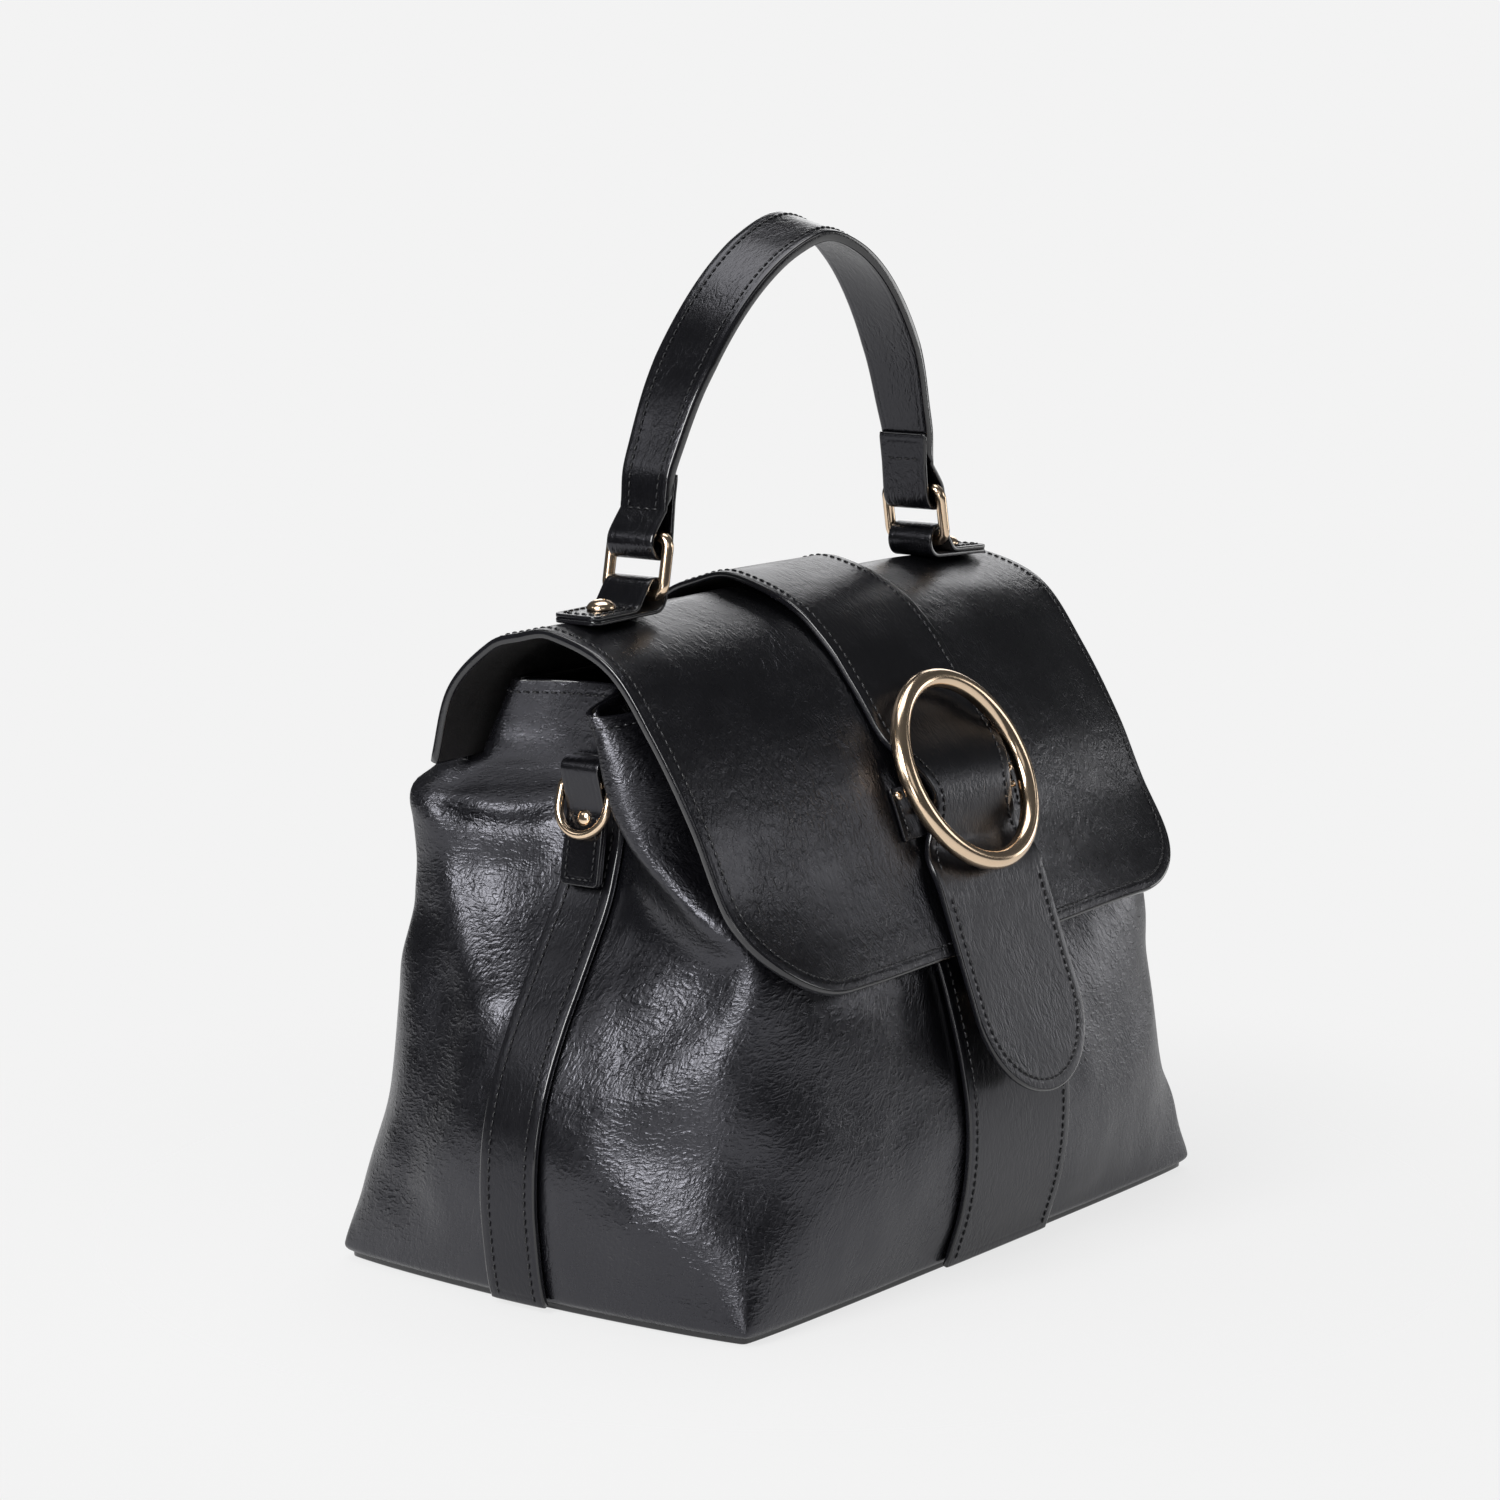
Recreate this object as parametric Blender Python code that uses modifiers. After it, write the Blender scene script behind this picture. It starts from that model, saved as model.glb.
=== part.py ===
"""Top-handle handbag: soft leather body with a folded gusset, a domed front flap with a
strap and a round buckle, two side D-rings and a stiff strap handle on two rings.

Metres, +Z up. The origin is the centre of the base on the ground, +X is the right-hand side
seen from the front, and the front faces -Y. Each physical piece is one object.
"""
from math import acos, asin, atan2, cos, pi, radians, sin, sqrt

import bmesh
import bpy
from mathutils import Matrix, Vector

# General sizes
BASE_WIDTH = 0.280
BASE_DEPTH = 0.1765
BODY_HEIGHT = 0.205
GAP = 0.0003
SIDE_LEATHER = 0.0020
LINING_CLOTH = 0.0010
SEAM_GAP = 0.0006
VALLEY_REACH = 0.0240

# Base
BASE_LEATHER = 0.0025
BASE_INSET = 0.0010
SIDE_RISE = 0.0009
BOARD_THICKNESS = 0.0025
BOARD_MARGIN = 0.0012

# Inside of the mouth and pocket
LINING_CLEARANCE = 0.0011
LINING_RISE = 0.0016
FACING_DEPTH = 0.0145
FACING_STEP = 0.0032
FACING_LEATHER = 0.0012
POCKET_WIDTH = 0.130
POCKET_LOW = 0.070
POCKET_HIGH = 0.145

# Flap
FLAP_WIDTH = 0.261
FLAP_CORNER = 0.037
FLAP_CROWN = 0.009
FLAP_TILT = 0.0019
FLAP_LEATHER = 0.0016
FLAP_LINING = 0.0012

# Centre strap, front band and buckle
STRAP_WIDTH = 0.0628
STRAP_THICKNESS = 0.0024
BAND_THICKNESS = 0.0022
STRAP_ARCH = 0.0034
STRAP_END_LIFT = 0.0026
STRAP_END_REACH = 0.0170
RING_INNER = 0.0604
RING_WIRE = 0.0068
RING_CLEARANCE = 0.0011
BAR_DIAMETER = 0.0024
BAR_DROP = 0.0085
BAR_BUMP_REACH = 0.0170
BAR_REST = 0.0010
WAIST_WIDTH = 0.0460
WAIST_REACH = 0.0260
KEEPER_WIDTH = 0.0190
KEEPER_LENGTH = 0.0740
KEEPER_LEATHER = 0.0012
KEEPER_RIVET = 0.0034
KEEPER_RIVET_HEIGHT = 0.0016
TONGUE_CLEARANCE = 0.0014
TONGUE_TIP_ANGLE = radians(4)
TONGUE_LENGTH = 0.0780
TONGUE_STANDOFF = 0.0012
SNAP_DIAMETER = 0.0160
SNAP_PLACE = 0.0420
SNAP_RIM = 0.0020
SNAP_SEAT = 0.0004

# Side strap and D-rings
SIDE_STRAP_WIDTH = 0.0230
SIDE_STRAP_LEATHER = 0.0022
SIDE_STRAP_SEAT = 0.0009
TAB_WIDTH = 0.0160
TAB_PLY = 0.0015
TAB_LOOP_RADIUS = 0.0044
TAB_JOIN = 0.0130
TAB_LENGTH = 0.0390
TAB_SEAT = 0.0018
D_WIDTH = 0.0232
D_LENGTH = 0.0205
D_WIRE = 0.0026
D_BAR_DROP = 0.0045
D_REST_LEAN = radians(7)
D_CORNER = 0.0020
D_RIVET = 0.0056
D_RIVET_HEIGHT = 0.0015
D_RIVET_DROP = 0.0165

# Handle
HANDLE_RING_SPACING = 0.170
HANDLE_RING_WIDTH = 0.0226
HANDLE_RING_HEIGHT = 0.0200
HANDLE_RING_WIRE = 0.0034
HANDLE_RING_CORNER = 0.0036
HANDLE_RING_LEAN = radians(11)
HANDLE_SEAT = 0.0001
FOLD_WIDTH = 0.0190
HANDLE_TAB_LOOP_RADIUS = 0.0063
HANDLE_TAB_JOIN = 0.0105
HANDLE_TAB_LENGTH = 0.0320
HANDLE_TAB_PLY = 0.0016
HANDLE_RIVET = 0.0100
HANDLE_RIVET_HEIGHT = 0.0028
HANDLE_RIVET_PLACE = 0.0180
END_LOOP_RADIUS = 0.0062
END_LOOP_DROP = 0.0020
END_LOOP_OUT = 0.0006
END_JOIN = 0.0110
END_PLY = 0.0016
END_PATCH = 0.0224
HANDLE_RISE = 0.1015
HANDLE_FOOT_LEAN = radians(6)
HANDLE_LEAN = 0.0085
HANDLE_ROLL = radians(15)
HANDLE_THICKNESS = 0.0040
HANDLE_END_WIDTH = 0.0190
HANDLE_CROWN_WIDTH = 0.0240

HALF_WIDTH = BASE_WIDTH / 2
HALF_DEPTH = BASE_DEPTH / 2
RING_RADIUS = (RING_INNER + RING_WIRE) / 2
HALF_SPACING = HANDLE_RING_SPACING / 2
SIDE_BOTTOM = BASE_LEATHER + SIDE_RISE
FACING_BOTTOM = BODY_HEIGHT - FACING_DEPTH

# Horizontal sections of the leather body, bottom to top. Each row gives, as shares, the
# height, the front centre, the front corner across, back and softness, the side centre,
# the back corner across, back and softness, and the back centre.
BODY_SECTION_SHARES = (
    (0.000, 1.014, 1.000, 0.997, 0.034, 1.040, 1.000, 0.997, 0.034, 1.014),
    (0.034, 1.042, 0.993, 0.989, 0.060, 1.060, 0.989, 0.986, 0.060, 1.042),
    (0.110, 1.100, 0.961, 0.946, 0.160, 1.079, 0.961, 0.946, 0.160, 1.090),
    (0.190, 1.130, 0.929, 0.924, 0.270, 1.089, 0.932, 0.918, 0.250, 1.100),
    (0.280, 1.130, 0.904, 0.916, 0.310, 1.079, 0.900, 0.884, 0.270, 1.077),
    (0.370, 1.094, 0.882, 0.900, 0.280, 1.039, 0.886, 0.861, 0.250, 1.054),
    (0.455, 1.037, 0.864, 0.895, 0.230, 0.975, 0.875, 0.856, 0.230, 1.043),
    (0.520, 0.986, 0.850, 0.884, 0.180, 0.914, 0.864, 0.850, 0.180, 1.031),
    (0.595, 0.905, 0.846, 0.850, 0.136, 0.843, 0.843, 0.815, 0.160, 1.009),
    (0.640, 0.860, 0.875, 0.760, 0.125, 0.800, 0.836, 0.812, 0.147, 0.997),
    (0.690, 0.805, 0.896, 0.600, 0.113, 0.762, 0.829, 0.812, 0.136, 0.984),
    (0.750, 0.745, 0.912, 0.453, 0.120, 0.730, 0.821, 0.818, 0.136, 0.953),
    (0.800, 0.690, 0.920, 0.374, 0.145, 0.722, 0.814, 0.808, 0.125, 0.872),
    (0.832, 0.653, 0.922, 0.342, 0.160, 0.720, 0.811, 0.690, 0.150, 0.716),
    (0.848, 0.634, 0.922, 0.327, 0.162, 0.720, 0.810, 0.617, 0.155, 0.638),
    (0.858, 0.623, 0.922, 0.319, 0.162, 0.720, 0.809, 0.556, 0.135, 0.574),
    (0.869, 0.610, 0.921, 0.309, 0.161, 0.720, 0.808, 0.497, 0.130, 0.514),
    (0.882, 0.595, 0.920, 0.297, 0.159, 0.720, 0.807, 0.486, 0.130, 0.502),
    (0.896, 0.579, 0.919, 0.284, 0.157, 0.720, 0.805, 0.476, 0.130, 0.492),
    (0.930, 0.535, 0.918, 0.256, 0.150, 0.720, 0.800, 0.445, 0.100, 0.468),
    (1.000, 0.420, 0.914, 0.187, 0.135, 0.720, 0.786, 0.375, 0.100, 0.415),
)
CENTRE_HANDLE_SHARE = 0.55
SIDE_HANDLE_SHARE = 0.45

# Flap edge line from the front bottom edge over the top to the back seam, as shares of the
# base's half depth and of the body's height.
FLAP_PROFILE_SHARES = (
    (-1.096, 0.5605),
    (-0.848, 0.6859),
    (-0.681, 0.8273),
    (-0.494, 0.9566),
    (-0.286, 1.0650),
    (0.005, 1.1110),
    (0.147, 1.1020),
    (0.295, 1.0820),
    (0.504, 0.9971),
    (0.594, 0.8707),
)
# How much of the crown the flap has along its length, and how far the strap stands off it.
FLAP_CROWN_SHARES = (
    (0.00, -0.35),
    (0.06, 0.15),
    (0.14, 0.75),
    (0.25, 1.02),
    (0.45, 0.90),
    (0.52, 0.58),
    (0.59, 0.34),
    (0.68, 0.28),
    (0.80, 0.25),
    (0.92, 0.15),
    (1.00, 0.00),
)
RING_ALONG_SHARE = 0.254
FLAP_TILT_SHARE = 1.5
STRAP_ARCH_START_SHARE = 0.43
STRAP_ARCH_END_SHARE = 0.88

# Outer face of the handle above its straight feet, as shares of the half spacing between the
# rings and of the rise above the upper ring bars.
HANDLE_ARCH_SHARES = (
    (0.900, 0.273),
    (0.784, 0.493),
    (0.628, 0.682),
    (0.440, 0.839),
    (0.231, 0.948),
    (0.000, 1.000),
)
HANDLE_LEAN_START_SHARE = 0.08
HANDLE_LEAN_POWER = 1.3
SNAP_STUD_SHARE = 0.45
BAR_END_RISE_SHARE = 0.55
BAR_END_INSET_SHARE = 0.2
KEEPER_RIVET_INSET_SHARE = 0.9
SIDE_STRAP_TOP_SHARE = 0.882
D_LOOP_HEIGHT_SHARE = 0.862
WING_START_SHARE = 0.78
WING_DROP_SHARE = 0.030


def spline(knots, place):
    """Values of a smooth curve through knots, rows of a place followed by its values."""
    last = len(knots) - 2
    index = max(0, min(last, sum(1 for row in knots[1:-1] if row[0] <= place)))
    low, high = knots[index], knots[index + 1]
    before = knots[max(0, index - 1)]
    after = knots[min(last + 1, index + 2)]
    span = high[0] - low[0]
    share = (place - low[0]) / span
    values = []
    for column in range(1, len(low)):
        slope_low = (high[column] - before[column]) / (high[0] - before[0])
        slope_high = (after[column] - low[column]) / (after[0] - low[0])
        rise = high[column] - low[column]
        a = slope_low * span - rise
        b = rise - slope_high * span
        blend = share * (1 - share)
        values.append(low[column] + share * rise + blend * ((1 - share) * a + share * b))
    return values


def bezier(a, b, c, d, share):
    rest = 1 - share
    return a * rest**3 + b * (3 * rest**2 * share) + c * (3 * rest * share**2) + d * share**3


def falloff(distance, reach):
    """1 at no distance, falling smoothly to 0 at the reach and beyond."""
    return cos(pi / 2 * min(1, abs(distance) / reach))**2


def find_share(function, target, low, high):
    """The share between low and high where a steady function reaches the target."""
    rising = function(high) > function(low)
    for _ in range(24):
        middle = (low + high) / 2
        if (function(middle) < target) == rising:
            low = middle
        else:
            high = middle
    return (low + high) / 2


def body_point(across, height, back):
    """Outer face of the body: across is 0 at the centre, 0.5 at a corner, 1 at a side seam."""
    row = spline(BODY_SECTION_SHARES, height / BODY_HEIGHT)
    front_y, front_cx, front_cy, front_soft, side_x, back_cx, back_cy, back_soft, back_y = row
    if back:
        centre_y, corner_x, corner_y, soft = back_y, back_cx, back_cy, back_soft
    else:
        centre_y, corner_x, corner_y, soft = front_y, front_cx, front_cy, front_soft
    centre = Vector((0, centre_y * HALF_DEPTH))
    corner = Vector((corner_x * HALF_WIDTH, corner_y * HALF_DEPTH))
    side = Vector((side_x * HALF_WIDTH, 0))
    turn = ((corner - centre).normalized() + (side - corner).normalized()).normalized()
    turn = turn * soft * HALF_DEPTH
    share = abs(across) * 2
    if share <= 1:
        reach = Vector((corner.x * CENTRE_HANDLE_SHARE, centre.y))
        spot = bezier(centre, reach, corner - turn, corner, share)
    else:
        reach = Vector((side.x, max(corner.y * SIDE_HANDLE_SHARE, min(corner.y, VALLEY_REACH))))
        spot = bezier(corner, corner + turn, reach, side, share - 1)
    depth = max(spot.y, SEAM_GAP / 2)
    upper = max(0, height / BODY_HEIGHT - WING_START_SHARE) / (1 - WING_START_SHARE)
    drop = 0 if back else BODY_HEIGHT * WING_DROP_SHARE * upper**2 * sin(pi * across)**2
    return Vector((spot.x if across > 0 else -spot.x, depth if back else -depth, height - drop))


def front_surface(u, height):
    return body_point(2 * u - 1, height, False)


def back_surface(u, height):
    return body_point(1 - 2 * u, height, True)


def centre_surface(width, back):
    """A strip of the front or back face with straight upright edges, width wide."""
    def surface(u, height):
        x = (u - 1 / 2) * width
        across = find_share(lambda s: body_point(s, height, back).x, abs(x), 0, 1 / 2)
        across = across if (x > 0) != back else -across
        return body_point(across, height, back)
    return surface


def side_surface(width, side):
    """A strip round the side seam, width wide. The side is 1 on the right, -1 on the left."""
    def surface(u, height):
        y = side * (u - 1 / 2) * width
        back = y > 0
        across = find_share(lambda s: abs(body_point(s, height, back).y), abs(y), 1 / 2, 1)
        point = body_point(side * across, height, back)
        point.y = y
        return point
    return surface


def outward(surface, u, height, lift):
    """The point of a body surface moved along its outward normal by the lift."""
    step = 1 / 200
    step_up = BODY_HEIGHT * step
    along = surface(min(1, u + step), height) - surface(max(0, u - step), height)
    up = surface(u, height + step_up) - surface(u, height - step_up)
    return surface(u, height) + along.cross(up).normalized() * lift


def chord_lengths(points):
    """How far along a line its points lie, measured straight from each to the next."""
    lengths = [0]
    for before, after in zip(points, points[1:]):
        lengths.append(lengths[-1] + (after - before).length)
    return lengths


def flap_profile():
    """Points and lengths along the flap's edge line, front bottom edge first."""
    spots = [Vector((y * HALF_DEPTH, z * BODY_HEIGHT)) for y, z in FLAP_PROFILE_SHARES]
    places = chord_lengths(spots)
    knots = [(place, *spot) for place, spot in zip(places, spots)]
    steps = 16 * (len(knots) - 1)
    points = [Vector(spline(knots, places[-1] * i / steps)) for i in range(steps + 1)]
    return points, chord_lengths(points)


PROFILE_POINTS, PROFILE_LENGTHS = flap_profile()
FLAP_LENGTH = PROFILE_LENGTHS[-1]


def flap_point(x, along, lift):
    """Outer face of the flap at x, along its length from the front edge, lifted by lift.
    The flap sits a little higher on the right than on the left, except at its seam."""
    reach = max(0, min(1, along)) * FLAP_LENGTH
    index = max(0, min(len(PROFILE_POINTS) - 2, sum(1 for v in PROFILE_LENGTHS[1:-1] if v <= reach)))
    low, high = PROFILE_POINTS[index], PROFILE_POINTS[index + 1]
    share = (reach - PROFILE_LENGTHS[index]) / (high - low).length
    spot = low.lerp(high, share)
    before = PROFILE_POINTS[max(0, index - 1)]
    after = PROFILE_POINTS[min(len(PROFILE_POINTS) - 1, index + 2)]
    forward = (high - before).normalized().lerp((after - low).normalized(), share).normalized()
    normal = Vector((-forward.y, forward.x))
    crown = FLAP_CROWN * spline(FLAP_CROWN_SHARES, along)[0] * (1 - (2 * x / FLAP_WIDTH)**2)
    spot = spot + normal * (crown + lift)
    aside = sin(pi * FLAP_TILT_SHARE * x / FLAP_WIDTH) * (1 - falloff(x, FLAP_WIDTH / 3))
    tilt = FLAP_TILT * aside * (1 - max(0, along)**4)
    return Vector((x, spot.x, spot.y + tilt))


def flap_half_width(along):
    """Half the flap's width, drawn in round its two front corners."""
    reach = along * FLAP_LENGTH
    if reach >= FLAP_CORNER:
        return FLAP_WIDTH / 2
    return FLAP_WIDTH / 2 - FLAP_CORNER + sqrt(max(0, FLAP_CORNER**2 - (FLAP_CORNER - reach)**2))


def flap_surface(lift):
    def surface(u, along):
        return flap_point((2 * u - 1) * flap_half_width(along), along, lift)
    return surface


def leather(name, roughness=0.28):
    return finish(name, (0.012, 0.012, 0.014, 1), roughness, 0)


def cloth(name):
    return finish(name, (0.045, 0.042, 0.040, 1), 0.9, 0)


def board(name):
    return finish(name, (0.20, 0.18, 0.15, 1), 0.8, 0)


def gold(name):
    return finish(name, (0.80, 0.58, 0.40, 1), 0.15, 1)


def finish(name, colour, roughness, metallic):
    material = bpy.data.materials.new(name + "_finish")
    material.use_nodes = True
    shader = material.node_tree.nodes["Principled BSDF"]
    shader.inputs["Base Color"].default_value = colour
    shader.inputs["Roughness"].default_value = roughness
    shader.inputs["Metallic"].default_value = metallic
    return material


def clear_scene():
    for thing in list(bpy.data.objects):
        bpy.data.objects.remove(thing, do_unlink=True)


def add_piece(name, data, look):
    piece = bpy.data.objects.new(name, data)
    data.materials.append(look(name))
    PIECES.objects.link(piece)
    return piece


def smooth(mesh, angle=radians(40)):
    mesh.shade_smooth()
    mesh.set_sharp_from_angle(angle=angle)


def sheet(name, surface, columns, levels, thickness, side, look, lift=0):
    """An open grid on a surface, lifted off it and thickened outwards (1) or inwards (-1)."""
    rows = len(levels) - 1
    grid = bmesh.new()
    bmesh.ops.create_grid(grid, x_segments=columns, y_segments=rows, size=1 / 2)
    for vertex in grid.verts:
        u = vertex.co.x + 1 / 2
        level = levels[round((vertex.co.y + 1 / 2) * rows)]
        vertex.co = surface(u, level)
    mesh = bpy.data.meshes.new(name)
    grid.to_mesh(mesh)
    grid.free()
    smooth(mesh)
    piece = add_piece(name, mesh, look)
    if lift:
        lifting = piece.modifiers.new("Lift", "DISPLACE")
        lifting.mid_level = 0
        lifting.strength = lift
    shell = piece.modifiers.new("Thickness", "SOLIDIFY")
    shell.thickness = thickness
    shell.offset = side
    return piece


def plate(name, outline, bottom, thickness, look):
    """A flat piece with the outline given as points in plan."""
    curve = bpy.data.curves.new(name, "CURVE")
    curve.dimensions = "2D"
    curve.fill_mode = "BOTH"
    curve.extrude = thickness / 2
    add_outline(curve, outline)
    piece = add_piece(name, curve, look)
    piece.location.z = bottom + thickness / 2
    return piece


def add_outline(curve, outline):
    line = curve.splines.new("POLY")
    line.points.add(len(outline) - 1)
    for point, spot in zip(line.points, outline):
        point.co = (spot[0], spot[1], 0, 1)
    line.use_cyclic_u = True


def wire(name, path, diameter, look):
    """A closed loop of round wire through the points of a path."""
    curve = bpy.data.curves.new(name, "CURVE")
    curve.dimensions = "3D"
    curve.bevel_depth = diameter / 2
    curve.bevel_resolution = 2
    line = curve.splines.new("POLY")
    line.points.add(len(path) - 1)
    for point, spot in zip(line.points, path):
        point.co = (*spot, 1)
    line.use_cyclic_u = True
    return add_piece(name, curve, look)


def arc(centre, radius, start, end, steps):
    """Points of a round arc in a plane, from one angle to another."""
    turn = (end - start) / steps
    angles = [start + turn * i for i in range(steps + 1)]
    return [Vector((centre[0] + radius * cos(a), centre[1] + radius * sin(a))) for a in angles]


def dome(name, diameter, height, place, normal, look):
    """A low domed rivet head, seated with a small gap on a face at the given place."""
    mesh = bpy.data.meshes.new(name)
    profile = [Vector((0, 0))]
    profile += [Vector((diameter / 2 * cos(a), height * sin(a))) for a in (i * pi / 10 for i in range(6))]
    profile.reverse()
    profile[0].x = 0
    bm = bmesh.new()
    verts = [bm.verts.new((spot.x, 0, spot.y)) for spot in profile]
    for before, after in zip(verts, verts[1:]):
        bm.edges.new((before, after))
    bm.to_mesh(mesh)
    bm.free()
    piece = add_piece(name, mesh, look)
    turned = piece.modifiers.new("Turned", "SCREW")
    turned.steps = turned.render_steps = 20
    turned.use_merge_vertices = True
    turned.merge_threshold = GAP / 30
    turned.use_smooth_shade = True
    turn_to(piece, place + normal * GAP, normal)
    return piece


def disc(name, diameter, height, place, normal, look):
    """A short round disc standing on a face at the given place."""
    mesh = bpy.data.meshes.new(name)
    bm = bmesh.new()
    radius = diameter / 2
    bmesh.ops.create_cone(bm, cap_ends=True, segments=28, radius1=radius, radius2=radius, depth=height)
    bm.to_mesh(mesh)
    bm.free()
    smooth(mesh)
    piece = add_piece(name, mesh, look)
    turn_to(piece, place + normal * (height / 2), normal)
    return piece


def turn_to(piece, place, normal):
    piece.matrix_world = Matrix.Translation(place) @ normal.to_track_quat("Z", "X").to_matrix().to_4x4()


def upright_plate(name, outline, holes, width, look):
    """A profile drawn in the XZ plane, width wide along Y and centred on it."""
    curve = bpy.data.curves.new(name, "CURVE")
    curve.dimensions = "2D"
    curve.fill_mode = "BOTH"
    curve.extrude = width / 2
    for line in [outline] + holes:
        add_outline(curve, line)
    piece = add_piece(name, curve, look)
    piece.rotation_euler.x = pi / 2
    return piece


def levels_between(bottom, top):
    """Heights of the body's sections between two heights, with both ends."""
    margin = (top - bottom) / 40
    inside = [row[0] * BODY_HEIGHT for row in BODY_SECTION_SHARES]
    return [bottom] + [level for level in inside if bottom + margin < level < top - margin] + [top]


def plan_outline(inset):
    """The body's outline at the base, drawn in by the inset."""
    points = []
    for surface in (front_surface, back_surface):
        shares = [i / 24 for i in range(25)]
        points += [outward(surface, u, SIDE_BOTTOM, -inset) for u in shares]
    return points


def make_body():
    walls = levels_between(SIDE_BOTTOM, BODY_HEIGHT)
    sheet("body_front", front_surface, 24, walls, SIDE_LEATHER, -1, leather)
    sheet("body_back", back_surface, 24, walls, SIDE_LEATHER, -1, leather)
    plate("base_panel", plan_outline(BASE_INSET), 0, BASE_LEATHER, leather)
    inside = SIDE_LEATHER + LINING_CLEARANCE
    board_top = SIDE_BOTTOM + BOARD_THICKNESS
    floor = plan_outline(inside + BOARD_MARGIN)
    plate("base_board", floor, SIDE_BOTTOM, BOARD_THICKNESS, board)
    plate("lining_base", floor, board_top + GAP, LINING_CLOTH, cloth)
    lining_bottom = board_top + GAP + LINING_CLOTH + LINING_RISE
    linings = levels_between(lining_bottom, FACING_BOTTOM - FACING_STEP)
    facings = levels_between(FACING_BOTTOM, BODY_HEIGHT - GAP)
    for side, surface in (("front", front_surface), ("back", back_surface)):
        sheet("lining_" + side, surface, 24, linings, LINING_CLOTH, -1, cloth, -inside)
        sheet("mouth_facing_" + side, surface, 24, facings, FACING_LEATHER, -1, leather, -inside)
    pocket = levels_between(POCKET_LOW, POCKET_HIGH)
    sink = -inside - LINING_CLOTH - 2 * GAP
    sheet("inner_pocket", centre_surface(POCKET_WIDTH, True), 6, pocket, LINING_CLOTH, -1, cloth, sink)


def make_front_band():
    levels = levels_between(SIDE_BOTTOM, BODY_HEIGHT)
    band = centre_surface(STRAP_WIDTH, False)
    sheet("front_band", band, 4, levels, BAND_THICKNESS, 1, leather, 2 * GAP)


def flap_levels():
    """Shares along the flap: close together round the front corners, even beyond them."""
    corner = FLAP_CORNER / FLAP_LENGTH
    round_part = [corner * (1 - cos(pi / 2 * i / 5)) for i in range(5)]
    straight = [corner + (1 - corner) * i / 12 for i in range(13)]
    return round_part + straight


def make_flap():
    levels = flap_levels()
    outer = sheet("flap_outer", flap_surface(0), 14, levels, FLAP_LEATHER, -1, leather)
    inner = flap_surface(-FLAP_LEATHER - GAP)
    return [outer, sheet("flap_lining", inner, 14, levels, FLAP_LINING, -1, cloth)]


def ring_frame():
    """The buckle's middle on the flap, its up direction and its outward direction."""
    seat = flap_point(0, RING_ALONG_SHARE, 0)
    reach = RING_RADIUS / FLAP_LENGTH
    top = flap_point(0, RING_ALONG_SHARE + reach, 0)
    bottom = flap_point(0, RING_ALONG_SHARE - reach, 0)
    up = (top - bottom).normalized()
    normal = Vector((1, 0, 0)).cross(up)
    lift = 2 * GAP + STRAP_THICKNESS + RING_CLEARANCE + RING_WIRE / 2
    return seat + normal * lift, up, normal


def bar_distance(along):
    return (along - RING_ALONG_SHARE) * FLAP_LENGTH + BAR_DROP


def strap_lift(along):
    """How far the strap's inner face stands off the flap: over the bar and over the top."""
    over_bar = KEEPER_LEATHER + BAR_DIAMETER + 2 * GAP + BAR_REST
    arched = (along - STRAP_ARCH_START_SHARE) / (STRAP_ARCH_END_SHARE - STRAP_ARCH_START_SHARE)
    arch = sin(pi * max(0, min(1, arched)))**2
    bump = over_bar * falloff(bar_distance(along), BAR_BUMP_REACH)
    end = STRAP_END_LIFT * falloff((along - strap_end()) * FLAP_LENGTH, STRAP_END_REACH)
    return GAP + bump + end + STRAP_ARCH * arch


def strap_surface(u, along):
    waist = (STRAP_WIDTH - WAIST_WIDTH) * falloff(bar_distance(along), WAIST_REACH)
    x = (u - 1 / 2) * (STRAP_WIDTH - waist)
    spot = flap_point(x, along, strap_lift(along))
    centre = flap_point(0, along, strap_lift(along))
    return Vector((x, centre.y, centre.z)).lerp(spot, 1 / 2)


def strap_end():
    """Where along the flap the strap turns into the free tongue, just below the ring."""
    return RING_ALONG_SHARE - (RING_RADIUS + RING_WIRE / 2 + TONGUE_CLEARANCE) / FLAP_LENGTH


def make_strap():
    end = strap_end()
    levels = [end + (1 - end) * i / 36 for i in range(37)]
    return [sheet("flap_strap", strap_surface, 4, levels, STRAP_THICKNESS, 1, leather)]


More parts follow.
